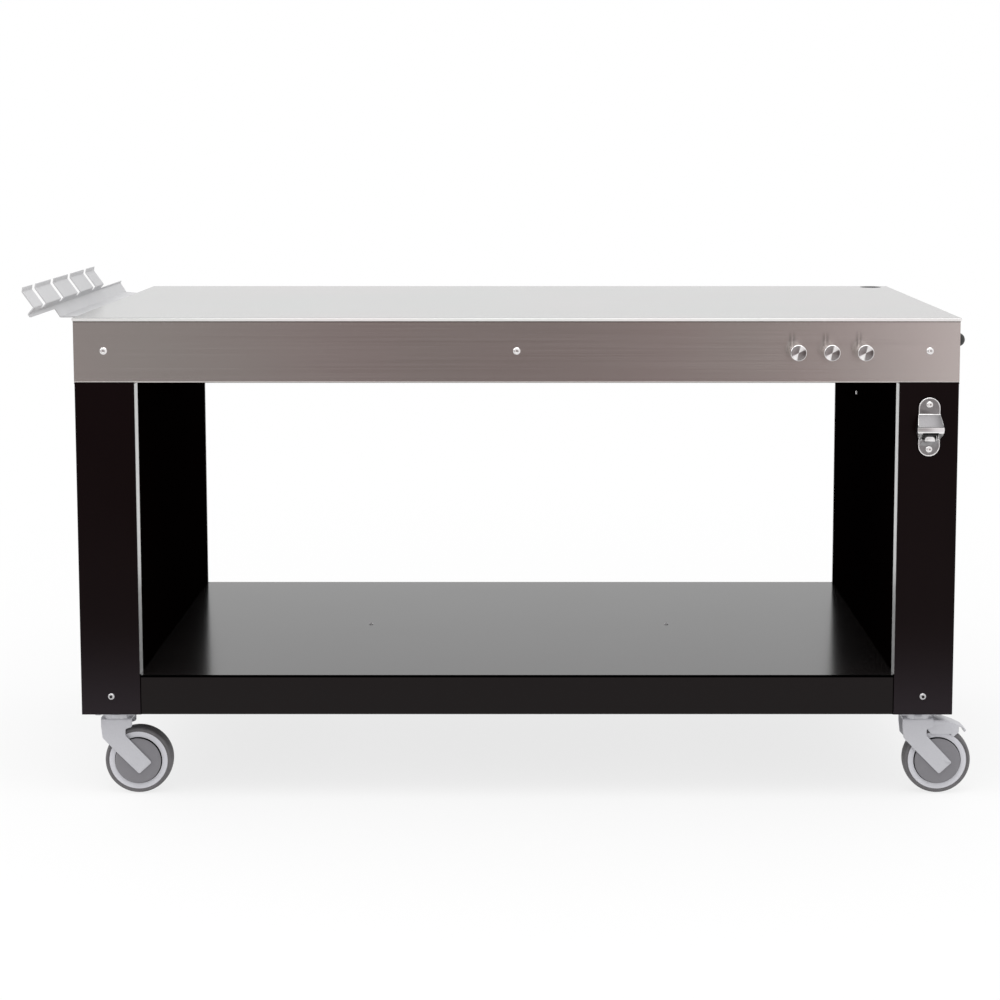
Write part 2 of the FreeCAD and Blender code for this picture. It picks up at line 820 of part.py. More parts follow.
# Fork: a pressed channel, its arms running down at 45 degrees to the axle,
# with the swivel head on top
arm_outer = fork_gap / 2.0 + fork_wall
arm_corners = [
    (-head_r, fork_web_top, 0),
    (-head_r, 129.0, 4.0),
    (-26.0, 107.0, 8.0),
    (-1.5, 81.0, 14.0),
    (caster_trail + 2.5, 39.0, 3.5),
    (caster_trail + 26.0, 60.5, 3.5),
    (16.0, 112.0, 8.0),
    (16.5, 124.0, 3.0),
    (head_r, 128.0, 4.0),
    (head_r, fork_web_top, 0),
]
fork = rounded_outline(
    [v(x, -arm_outer, z) for x, z, radius in arm_corners],
    [radius for x, z, radius in arm_corners],
    v(0, 2.0 * arm_outer, 0),
)
shoulder_edges = [
    e
    for e in fork.Edges
    if e.BoundBox.ZMin > fork_web_top - 0.1 and e.BoundBox.XLength > head_r
]
fork = fork.makeFillet(fork_wall + 2.5, shoulder_edges)
fork_inside = box(
    -100, 200, -fork_gap / 2.0, fork_gap / 2.0, 0, web_under
)
fork_inside = fork_inside.makeFillet(
    2.5, [e for e in fork_inside.Edges if e.BoundBox.ZMin > web_under - 0.1 and e.BoundBox.XLength > 10]
)
fork = fork.cut(fork_inside)
head = rod(head_r, v(0, 0, fork_web_top - 1.0), up, head_height + 1.0)
head_groove = rod(head_r + 5, v(0, 0, head_top - 3.6), up, 1.0).cut(
    rod(head_r - 0.9, v(0, 0, head_top - 4.6), up, 3.0)
)
head = head.cut(head_groove)
head_rims = [e for e in head.Edges if e.BoundBox.ZMin > head_top - 0.1]
head = head.makeFillet(1.2, head_rims)
fork = fork.fuse(head).removeSplitter()
swivel_hole = rod(kingpin_r + kingpin_clearance, v(0, 0, 100), up, 100)
axle_hole = rod(axle_r, v(caster_trail, -50, axle_z), along, 100)
fork = fork.cut(swivel_hole.fuse(axle_hole))
axle = rod(axle_r, v(caster_trail, -arm_outer, axle_z), along, 2.0 * arm_outer)

# Wheel: a moulded core with a hub, web and rim, and a tyre seated on it
axle_centre = v(caster_trail, 0, axle_z)
bore_r = axle_r + axle_clearance
half_hub = hub_width / 2.0
half_core = core_width / 2.0
half_web = core_web / 2.0
half_tyre = tyre_width / 2.0
core_profile = [
    (-half_hub, bore_r),
    (-half_hub, hub_r - 1.5),
    (-half_hub + 1.5, hub_r),
    (-half_web, hub_r + 2.0),
    (-half_web, core_rim_r - 2.0),
    (-half_core, core_rim_r),
    (-half_core, tyre_seat_r),
    (half_core, tyre_seat_r),
    (half_core, core_rim_r),
    (half_web, core_rim_r - 2.0),
    (half_web, hub_r + 2.0),
    (half_hub - 1.5, hub_r),
    (half_hub, hub_r - 1.5),
    (half_hub, bore_r),
]
core = turned(core_profile, axle_centre, along)
tread = half_tyre * 0.62
tyre_points = [
    v(caster_trail, -half_core, axle_z + tyre_seat_r),
    v(caster_trail, -half_core, axle_z + tyre_side_r),
    v(caster_trail, -half_tyre, axle_z + tyre_side_r + tyre_step),
    v(caster_trail, -tread, axle_z + wheel_r - 0.9),
    v(caster_trail, 0, axle_z + wheel_r),
    v(caster_trail, tread, axle_z + wheel_r - 0.9),
    v(caster_trail, half_tyre, axle_z + tyre_side_r + tyre_step),
    v(caster_trail, half_core, axle_z + tyre_side_r),
    v(caster_trail, half_core, axle_z + tyre_seat_r),
]
side_bulge = v(caster_trail, -half_tyre + 1.2, axle_z + wheel_r - 2.6)
tyre_edges = [
    Part.makeLine(tyre_points[0], tyre_points[1]),
    Part.makeLine(tyre_points[1], tyre_points[2]),
    Part.Arc(tyre_points[2], side_bulge, tyre_points[3]).toShape(),
    Part.Arc(tyre_points[3], tyre_points[4], tyre_points[5]).toShape(),
    Part.Arc(
        tyre_points[5], v(side_bulge.x, -side_bulge.y, side_bulge.z), tyre_points[6]
    ).toShape(),
    Part.makeLine(tyre_points[6], tyre_points[7]),
    Part.makeLine(tyre_points[7], tyre_points[8]),
    Part.makeLine(tyre_points[8], tyre_points[0]),
]
tyre = Part.Face(Part.Wire(tyre_edges)).revolve(axle_centre, along, 360)

# Thread guards: a dished disc against the inside of each arm
guard_profile = [
    (fork_gap / 2.0 - guard_wall, axle_r),
    (fork_gap / 2.0 - guard_wall, guard_r - 1.2),
    (fork_gap / 2.0 - guard_wall + 0.6, guard_r),
    (fork_gap / 2.0 - 1.0, guard_r),
    (fork_gap / 2.0, guard_r - 2.5),
    (fork_gap / 2.0, axle_r),
]
guard = turned(guard_profile, axle_centre, along)
thread_guards = [guard, mirrored_y(guard)]

# Brake pedal: a folded cover over the wheel with a tongue for the foot
pivot_x, pivot_z = pedal_pivot
pedal_half = fork_gap / 2.0 - pedal_side_gap
pedal_top = [
    (pivot_x - 4.5, pivot_z + 6.4),
    (50.0, 139.5),
    (70.0, 132.5),
    (84.0, 126.5),
    (91.0, 119.5),
]
pedal_low = [
    (89.0, 116.0),
    (76.0, 115.5),
    (68.0, 109.0),
    (64.0, 109.0),
    (62.0, 113.5),
    (40.0, 112.5),
    (26.0, 113.5),
    (pivot_x - 4.5, pivot_z - 6.0),
]
pedal = outline([v(x, -pedal_half, z) for x, z in pedal_top + pedal_low], v(0, 2 * pedal_half, 0))
hollow_half = pedal_half - pedal_wall
hollow_top = [(pivot_x - 30.0, pivot_z + 7.0 - pedal_wall)]
hollow_top += [(x, z - pedal_wall * 1.05) for x, z in pedal_top[1:4]]
tip_x, tip_z = pedal_top[4]
hollow_top.append((tip_x - 1.5 * pedal_wall, tip_z - 0.6 * pedal_wall))
hollow_low = [(hollow_top[-1][0], 80.0), (pivot_x - 30.0, 80.0)]
hollow = outline(
    [v(x, -hollow_half, z) for x, z in hollow_top + hollow_low], v(0, 2 * hollow_half, 0)
)
pedal = pedal.cut(hollow)
tongue_taper = outline(
    [v(66.0, -pedal_half, 100), v(100, -pedal_half, 100), v(100, -pedal_half + 7.0, 100)],
    v(0, 0, 60),
)
pedal = pedal.cut(tongue_taper.fuse(mirrored_y(tongue_taper)))
pin_line = rod(pedal_pin_r, v(pivot_x, -arm_outer, pivot_z), along, 2.0 * arm_outer)
pedal_bore = rod(
    pedal_pin_r + pedal_pin_clearance, v(pivot_x, -arm_outer, pivot_z), along, 2.0 * arm_outer
)
pedal = pedal.cut(pedal_bore).removeSplitter()
braked_fork = fork.cut(pin_line)

# One place for each caster: its name, where it stands and whether it brakes
caster_places = [
    ("front_left", -caster_x, -caster_y, False),
    ("front_right", caster_x, -caster_y, True),
    ("rear_left", -caster_x, caster_y, False),
    ("rear_right", caster_x, caster_y, True),
]

pieces = {
    "worktop": [worktop],
    "apron_front": [apron_front],
    "apron_rear": [apron_rear],
    "apron_left": [apron_left],
    "apron_right": [apron_right],
    "worktop_stiffeners": worktop_stiffeners,
    "apron_screws": apron_screws,
    "hook_pins": hook_pins,
    "buffer_knob": [buffer_knob],
    "cable_grommet": cable_grommet,
    "tool_rack": [rack],
    "rack_screws": rack_screws,
    "bottle_opener": [opener],
    "opener_screws": opener_screws,
    "cover_left": [cover_left],
    "cover_right": [cover_right],
    "inner_panel_left": [panel_left],
    "inner_panel_right": [panel_right],
    "leg_posts": posts,
    "top_plates": top_plates,
    "base_plates": base_plates,
    "foot_screws": foot_screws,
    "shelf": [shelf],
    "shelf_rail_front": [rail_front],
    "shelf_rail_rear": [rail_rear],
    "shelf_stiffeners": shelf_stiffeners,
    "shelf_screws": shelf_screws,
    "caster_plates": [],
    "kingpins": [],
    "caster_bolts": [],
}
for name, x, y, braked in caster_places:
    pieces["caster_plates"].append(moved(mount_plate, x, y))
    pieces["kingpins"].append(moved(kingpin, x, y))
    for place in bolt_places:
        pieces["caster_bolts"].append(moved(caster_bolt, x + place.x, y + place.y))
    pieces["fork_" + name] = [moved(braked_fork if braked else fork, x, y)]
    pieces["axle_" + name] = [moved(axle, x, y)]
    pieces["thread_guards_" + name] = [moved(shape, x, y) for shape in thread_guards]
    pieces["wheel_core_" + name] = [moved(core, x, y)]
    pieces["tyre_" + name] = [moved(tyre, x, y)]
    if braked:
        pieces["brake_pedal_" + name] = [moved(pedal, x, y)]
        pieces["pedal_pin_" + name] = [moved(pin_line, x, y)]

os.makedirs("parts", exist_ok=True)
for name, shapes in pieces.items():
    solids = [solid for shape in shapes for solid in shape.Solids]
    placed = [moved(solid, table_middle_x, table_middle_y) for solid in solids]
    Part.makeCompound(placed).exportStep("parts/" + name + ".step")
    print(name, len(solids), all(solid.isValid() for solid in solids))
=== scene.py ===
import math

import bmesh
import bpy
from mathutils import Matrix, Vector


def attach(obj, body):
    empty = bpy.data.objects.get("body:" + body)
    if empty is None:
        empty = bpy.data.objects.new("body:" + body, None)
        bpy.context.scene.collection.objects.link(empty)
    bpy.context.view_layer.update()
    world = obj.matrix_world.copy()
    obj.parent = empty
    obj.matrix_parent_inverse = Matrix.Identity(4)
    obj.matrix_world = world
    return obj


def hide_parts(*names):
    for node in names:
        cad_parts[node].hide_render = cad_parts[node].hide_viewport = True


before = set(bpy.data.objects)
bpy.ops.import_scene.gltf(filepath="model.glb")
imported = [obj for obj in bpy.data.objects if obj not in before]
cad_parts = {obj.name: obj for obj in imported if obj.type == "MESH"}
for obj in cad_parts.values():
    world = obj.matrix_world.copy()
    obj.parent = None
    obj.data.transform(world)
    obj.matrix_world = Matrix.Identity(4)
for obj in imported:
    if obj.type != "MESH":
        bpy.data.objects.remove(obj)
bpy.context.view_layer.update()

# The camera: a little above the worktop, 3.7 m from the table's front, with part
# of the fall of view taken by tilt and part by shift. The table faces -Y, and
# the rack and the pins, which count in the whole, put its middle off zero.
middle_x = 0.0166
middle_y = 0.0255
table_depth = 0.8
table_height = 0.89
front_y = middle_y - table_depth / 2
eye_from_front = 3.69
eye_over_top = 0.322
eye_right_of_middle = 0.034
lens_width = 36.0
lens_length = 74.25
view_tilt = math.radians(5.88)
shift_right = -0.0356
shift_up = -0.15


def put_in(name, data):
    """A new object, put in the scene."""
    thing = bpy.data.objects.new(name, data)
    bpy.context.scene.collection.objects.link(thing)
    return thing


camera_data = bpy.data.cameras.new("camera")
camera_data.sensor_width = lens_width
camera_data.lens = lens_length
camera_data.shift_x = shift_right
camera_data.shift_y = shift_up
camera = put_in("camera", camera_data)
camera.location = (
    middle_x + eye_right_of_middle,
    front_y - eye_from_front,
    table_height + eye_over_top,
)
camera.rotation_euler = (math.pi / 2 - view_tilt, 0, 0)
bpy.context.scene.camera = camera
bpy.context.scene.view_settings.view_transform = "Standard"


# The room: white all round and overhead. Only low down in front of the table,
# where its upright front faces are turned, is it a dimmer room, brighter to the
# right, because the brushed front shows such a room.
class Socket:
    """An output of a node that takes part in sums like a number."""

    def __init__(self, tree, output):
        self.tree = tree
        self.output = output

    def math(self, operation, first, second=0.0):
        return self.tree.node("Math", {"operation": operation}, {0: first, 1: second})

    def __add__(self, other):
        return self.math("ADD", self, other)

    def __sub__(self, other):
        return self.math("SUBTRACT", self, other)

    def __rsub__(self, other):
        return self.math("SUBTRACT", other, self)

    def __mul__(self, other):
        return self.math("MULTIPLY", self, other)

    def __truediv__(self, other):
        return self.math("DIVIDE", self, other)

    def __rtruediv__(self, other):
        return self.math("DIVIDE", other, self)

    def __neg__(self):
        return self.math("MULTIPLY", self, -1.0)

    def __lt__(self, other):
        return self.math("LESS_THAN", self, other)

    def __gt__(self, other):
        return self.math("GREATER_THAN", self, other)

    def fade(self, low, high):
        """0 below low, 1 above high, eased between them."""
        settings = {"interpolation_type": "SMOOTHSTEP"}
        values = {"Value": self, "From Min": low, "From Max": high}
        return self.tree.node("MapRange", settings, values)

    __radd__ = __add__
    __rmul__ = __mul__


class Tree:
    """A tree of nodes, made one by one."""

    def node(self, kind, settings=None, values=None, output=0):
        node = self.tree.nodes.new(kind if "Node" in kind else "ShaderNode" + kind)
        for key, value in (settings or {}).items():
            setattr(node, key, value)
        for key, value in (values or {}).items():
            self.feed(node.inputs[key], value)
        return Socket(self, node.outputs[output]) if node.outputs else None

    def feed(self, socket, value):
        if isinstance(value, Socket):
            self.tree.links.new(value.output, socket)
        elif isinstance(value, tuple) and len(value) == 3 and socket.type == "RGBA":
            socket.default_value = (*value, 1.0)
        else:
            socket.default_value = value

    def axis(self, vector, index):
        return self.node("SeparateXYZ", {}, {0: vector}, output=index)


class Surface(Tree):
    """A finish: a material, or the sky."""

    def __init__(self, name, owner=None):
        self.owner = owner or bpy.data.materials.new(name)
        self.owner.use_nodes = True
        self.tree = self.owner.node_tree
        self.tree.nodes.clear()

    def place(self, scale=(1, 1, 1), turn=(0, 0, 0), shift=(0, 0, 0)):
        """The piece's own coordinates in metres, stretched, turned and moved."""
        spot = self.node("TexCoord", output=3)
        values = {"Vector": spot, "Scale": scale, "Rotation": turn, "Location": shift}
        return self.node("Mapping", {}, values)

    def noise(self, vector, scale, detail=2.0, roughness=0.5):
        values = {"Vector": vector, "Scale": scale, "Detail": detail, "Roughness": roughness}
        return self.node("TexNoise", {}, values)

    def mix(self, factor, first, second):
        values = {0: factor, 6: first, 7: second}
        return self.node("Mix", {"data_type": "RGBA"}, values, output=2)

    def bump(self, height, strength, distance):
        values = {"Height": height, "Strength": strength, "Distance": distance}
        return self.node("Bump", {}, values)

    def finish(self, **values):
        """The main shader; words in the names stand for its sockets' names."""
        sockets = {key.replace("_", " ").title(): value for key, value in values.items()}
        for old, new in (("Ior", "IOR"), ("Specular Level", "Specular IOR Level")):
            if old in sockets:
                sockets[new] = sockets.pop(old)
        shader = self.node("BsdfPrincipled", {}, sockets)
        self.node("OutputMaterial", {}, {"Surface": shader})
        return self.owner


world = bpy.data.worlds.new("room")
bpy.context.scene.world = world
room = Surface("room", world)
ray = room.node("TexCoord", output=0)
ray_x = room.axis(ray, 0)
ray_y = room.axis(ray, 1)
ray_z = room.axis(ray, 2)
front_side = 1 - ray_y.fade(-0.55, 0.1)
low_down = 1 - ray_z.fade(0.02, 0.2)
left_soft = 1 - ray_x.fade(-0.24, -0.04)
right_soft = ray_x.fade(0.03, 0.11)
right_side = ray_x.fade(0.158, 0.215)
white_wall = (1.0, 1.0, 1.0)
left_wall = (0.36, 0.335, 0.33)
middle_wall = (0.225, 0.175, 0.172)
right_wall = (0.33, 0.275, 0.27)
window_wall = (1.0, 0.95, 0.95)
dim = room.mix(left_soft, middle_wall, left_wall)
dim = room.mix(right_soft, dim, right_wall)
dim = room.mix(right_side, dim, window_wall)
wall = room.mix(front_side * low_down, white_wall, dim)
seen = room.node("LightPath", output=0)
colour = room.mix(seen, wall, white_wall)
glow = room.node("Background", {}, {"Color": colour, "Strength": 1.0})
room.node("OutputWorld", {}, {"Surface": glow})


# The lamps: two large soft panels over the table, one in front of it and one on
# the left, which light the flat tops and lay the faint shadow on the floor.
def lamp(name, place, aim, size, power):
    """A flat soft lamp that faces what it is aimed at."""
    data = bpy.data.lights.new(name, "AREA")
    data.shape = "RECTANGLE"
    data.size, data.size_y = size
    data.energy = power
    light = put_in(name, data)
    light.location = place
    direction = Vector(aim) - Vector(place)
    light.rotation_euler = direction.to_track_quat("-Z", "Y").to_euler()


lamp_aim = (0, 0, 0.5)
lamp("soft_top", place=(0.3, -1.4, 3.2), aim=lamp_aim, size=(3.0, 1.6), power=30)
lamp("soft_left", place=(-3.0, -1.0, 3.0), aim=lamp_aim, size=(1.4, 2.2), power=18)

# The floor: a pale sheet that goes white away from the table, so that it
# meets the white room with no line and still keeps the table's soft shadow.
floor_half = 30.0
floor_front = -2.4
floor_z = -0.0006
least_glow = 0.78
floor_mesh = bpy.data.meshes.new("floor")
corners = [(-floor_half, floor_front), (floor_half, floor_front)]
corners += [(floor_half, floor_half), (-floor_half, floor_half)]
floor_mesh.from_pydata([(x, y, floor_z) for x, y in corners], [], [(0, 1, 2, 3)])
floor = put_in("floor", floor_mesh)
ground = Surface("pale_floor")
spot = ground.node("TexCoord", output=3)
reach = ground.node("VectorMath", {"operation": "LENGTH"}, {0: spot}, output=1)
away = reach.fade(0.6, 3.2)
camera_ray = ground.node("LightPath", output=0)
glossy_ray = ground.node("LightPath", output=3)
through_ray = ground.node("LightPath", output=6)
seen = (camera_ray + glossy_ray + through_ray).fade(0.0, 1.0)
paper = ground.node("BsdfDiffuse", {}, {"Color": (0.86, 0.86, 0.86)})
white = ground.node("Emission", {}, {"Color": (1.0, 1.0, 1.0), "Strength": 1.0})
share = seen * (away * (1 - least_glow) + least_glow)
mixed = ground.node("MixShader", {}, {0: share, 1: paper, 2: white})
ground.node("OutputMaterial", {}, {"Surface": mixed})
floor_mesh.materials.append(ground.owner)


# Pedestals: sheet covers folded round three sides and closed by plates at top
# and foot, all in a deep black powder coat, half gloss, with a faint orange
# peel, painted paler towards the foot as a painted reflection of the floor. The
# rails of the shelf have the same coat, a little glossier, with a painted shade
# line along their top.
def dress(names, material):
    """Gives carried-over pieces their finish."""
    for name in names:
        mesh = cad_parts[name].data
        for index in range(len(mesh.materials)):
            mesh.materials[index] = material


# Heights over which the painted floor reflection on the legs fades out going up.
floor_sheen_full_z = 0.13
floor_sheen_end_z = 0.40


def powder_coat(name, gloss, joint=1.0, dust_and_floor_sheen=(0.003, 0.001, 0.001)):
    """The coat, painted dead black above the height of a joint as a shade line,
    and paler at its foot: a painted reflection of the floor.
    """
    coat = Surface(name)
    peel = coat.noise(coat.place(), 900.0, 2.0)
    wear = coat.noise(coat.place(), 5.0, 3.0)
    height = coat.axis(coat.place(), 2)
    painted_dark = height > joint
    low = 1 - height.fade(floor_sheen_full_z, floor_sheen_end_z)
    black = coat.mix(wear, (0.0030, 0.0004, 0.0006), (0.0044, 0.0011, 0.0014))
    black = coat.mix(low * low, black, dust_and_floor_sheen)
    return coat.finish(
        base_color=coat.mix(painted_dark, black, (0.001, 0.001, 0.001)),
        metallic=painted_dark,
        roughness=0.32 + (wear - 0.5) * 0.06 + painted_dark * 0.5,
        specular_level=gloss,
        normal=coat.bump(peel, 0.05, 0.00002),
    )


leg_coat = powder_coat("leg_powder_coat", 0.085, dust_and_floor_sheen=(0.019, 0.0145, 0.0175))
dress(["cover_left", "cover_right", "top_plates", "base_plates"], leg_coat)
# The rails' coat is painted dead black above this height: a painted shade line along the top
# of each rail, under the shelf's edge.
rail_joint = 0.2295
rail_coat = powder_coat("rail_powder_coat", 0.19, rail_joint)
dress(["shelf_rail_front", "shelf_rail_rear"], rail_coat)

# Leg posts: galvanised channels that close the open side of each pedestal and
# show as a pale strip beside the front cover. Behind the shelf rails, beside
# the panel, and at the rear but for the last edge, where they lie in the
# pedestal's dark, they are painted dead black with no gloss: painted shade.
shelf_top = 0.234
rear_y = middle_y + table_depth / 2
strip_end = front_y + 0.0335
rear_edge = rear_y - 0.0075


def spangled(surface):
    """The zinc's flakes, each a random share, and the colour they give it."""
    values = {"Vector": surface.place(), "Scale": 160.0}
    flake = surface.axis(surface.node("TexVoronoi", {}, values, output=1), 0)
    return flake, surface.mix(flake, (0.56, 0.56, 0.56), (0.66, 0.66, 0.655))


posts = Surface("galvanised_posts")
flake, zinc = spangled(posts)
spot = posts.place()
over_shelf = posts.axis(spot, 2) > shelf_top
along_side = posts.axis(spot, 1)
# Zinc shows only where the posts are lit; elsewhere they are painted black, as painted shade.
unshaded_zinc = over_shelf * ((along_side < strip_end) + (along_side > rear_edge))
posts_with_painted_shade = posts.finish(
    base_color=posts.mix(unshaded_zinc, (0.0014, 0.0007, 0.0007), zinc),
    metallic=unshaded_zinc,
    roughness=0.34 + flake * 0.08,
    specular_level=0.0,
)
dress(["leg_posts"], posts_with_painted_shade)

# Stiffeners: hat channels folded from bare galvanised sheet, spangled, and
# fixed flat under the worktop and under the shelf.
channel = Surface("galvanised_sheet")
flake, zinc = spangled(channel)
galvanised = channel.finish(
    base_color=zinc,
    metallic=1.0,
    roughness=0.34 + flake * 0.08,
)
dress(["worktop_stiffeners", "shelf_stiffeners"], galvanised)

# Inner panels: black sheet between the posts, dead matt, so that they show as
# a plain black face.
matt = Surface("matt_black_panel")
dust_and_floor_sheen = matt.noise(matt.place(), 40.0, 3.0)
matt_black = matt.finish(
    base_color=matt.mix(dust_and_floor_sheen, (0.0010, 0.0004, 0.0004), (0.0016, 0.0008, 0.0008)),
    roughness=0.7 + (dust_and_floor_sheen - 0.5) * 0.1,
    specular_level=0.0,
)
dress(["inner_panel_left", "inner_panel_right"], matt_black)

# Shelf: one sheet laid on the rails, with a smoother, glossier black coat that
# mirrors the room as a soft grey and the inner panels as black.
# The sheet's front bend is painted dead black and dull: a painted shadow line where the shelf
# meets the front rail.
shaded_bend_y = front_y + 0.0031
gloss = Surface("shelf_gloss_coat")
peel = gloss.noise(gloss.place(), 260.0, 2.0)
wear = gloss.noise(gloss.place(), 5.0, 3.0)
shaded_front_bend = gloss.axis(gloss.place(), 1) < shaded_bend_y
black = gloss.mix(wear, (0.0075, 0.0065, 0.0065), (0.011, 0.0095, 0.0095))
shelf_coat = gloss.finish(
    base_color=gloss.mix(shaded_front_bend, black, (0.001, 0.001, 0.001)),
    metallic=shaded_front_bend,
    roughness=0.165 + (wear - 0.5) * 0.04 + shaded_front_bend * 0.6,
    specular_level=0.5,
    normal=gloss.bump(peel, 0.05, 0.00003),
)
dress(["shelf"], shelf_coat)

# Worktop and apron: stainless sheet, brushed lengthwise and folded. The top's
# short lip hangs over four apron channels, which are screwed from outside.
# Painted reflections of the hook pins on the apron: the widths and heights of the dark
# streaks.
reflection_core = 0.0018
reflection_half = 0.0085
reflection_fade = 0.004
reflection_low_z = 0.838
reflection_full_z = reflection_low_z + 0.010
reflection_high_z = 0.870


def brushed(name, colour, grain, roughness, tint=0.06, edge=None, pull=0.6, pin_reflections=()):
    """Stainless with fine brush lines; grain is the stretch of the lines. The
    sheet's edge beyond a height, above or below, differs by a factor: a painted
    highlight on the worktop's lip, a painted shadow on the apron under the lip.
    Pin reflections are painted: a dark streak with a paler middle line runs up
    the front over each hook pin."""
    steel = Surface(name)
    lines = steel.noise(steel.place(scale=grain), 1.0, 3.0, 0.65)
    clouds = steel.noise(steel.place(scale=(2.2, 2.2, 3.5)), 1.0, 2.0)
    warm = steel.noise(steel.place(scale=(3.0, 3.0, 4.0), shift=(7.0, 0, 0)), 1.0, 2.0)
    shade = 1.0 + (lines - 0.5) * tint + (clouds - 0.5) * (2 * tint)
    red, green, blue = colour
    rosy = (red * 1.05, green * 0.98, blue * 0.985)
    olive = (red * 0.965, green * 1.015, blue * 0.99)
    hue = steel.mix(warm, rosy, olive)
    rough = roughness + (lines - 0.5) * 0.12
    if edge:
        height, above, factor, extra = edge
        z = steel.axis(steel.place(), 2)
        at_edge = z > height if above else z < height
        shade = shade * (1.0 + at_edge * (factor - 1.0))
        rough = rough + at_edge * extra
    for reflection_x in pin_reflections:
        spot = steel.place()
        off = steel.axis(spot, 0) - reflection_x
        off = off.math("ABSOLUTE", off)
        up = steel.axis(spot, 2)
        painted_reflection = 1 - off.fade(0.0030, reflection_half) - (1 - off.fade(0.0005, reflection_core))
        tall = up.fade(reflection_low_z - reflection_fade, reflection_low_z + reflection_fade)
        tall = tall * (1 - up.fade(reflection_full_z, reflection_high_z))
        in_front = steel.axis(spot, 1) < middle_y
        shade = shade * (1 - painted_reflection * tall * in_front * 0.30)
    pale = steel.node("VectorMath", {"operation": "SCALE"}, {0: hue, 3: shade})
    return steel.finish(
        base_color=pale,
        metallic=1.0,
        roughness=rough,
        normal=steel.bump(lines, 0.15, 0.0004),
        anisotropic=pull,
        anisotropic_rotation=0.25,
    )


table_length = 1.6
# The lip's face is painted brighter, a painted highlight; the apron's band under the lip is
# painted darker, a painted shadow.
lip_face_highlight = (table_height - 0.0018, False, 1.9, 0.34)
under_lip_shadow = (table_height - 0.0084, True, 0.55, 0.0)
pin_count = 3
first_pin_x = middle_x + table_length / 2 - 0.177
pin_pitch = 0.060
# Each painted pin reflection stands a little to the left of its pin.
reflection_shift = 0.0075
pin_reflections = [first_pin_x - pin_pitch * count - reflection_shift for count in range(pin_count)]
grey_tone = (0.475, 0.475, 0.475)
warm_tone = (0.60, 0.565, 0.55)
end_tone = (0.60, 0.57, 0.555)
top_grain = (1.5, 900, 900)
long_grain = (1.2, 700, 700)
end_grain = (700, 1.2, 700)
top_steel = brushed(
    "worktop_stainless", grey_tone, top_grain, 0.22, tint=0.03, edge=lip_face_highlight, pull=0.0)
apron_steel = brushed(
    "apron_stainless", warm_tone, long_grain, 0.20, edge=under_lip_shadow, pin_reflections=pin_reflections)
end_steel = brushed("end_stainless", end_tone, end_grain, 0.20, edge=under_lip_shadow)
dress(["worktop"], top_steel)
dress(["apron_front", "apron_rear"], apron_steel)
dress(["apron_left", "apron_right"], end_steel)


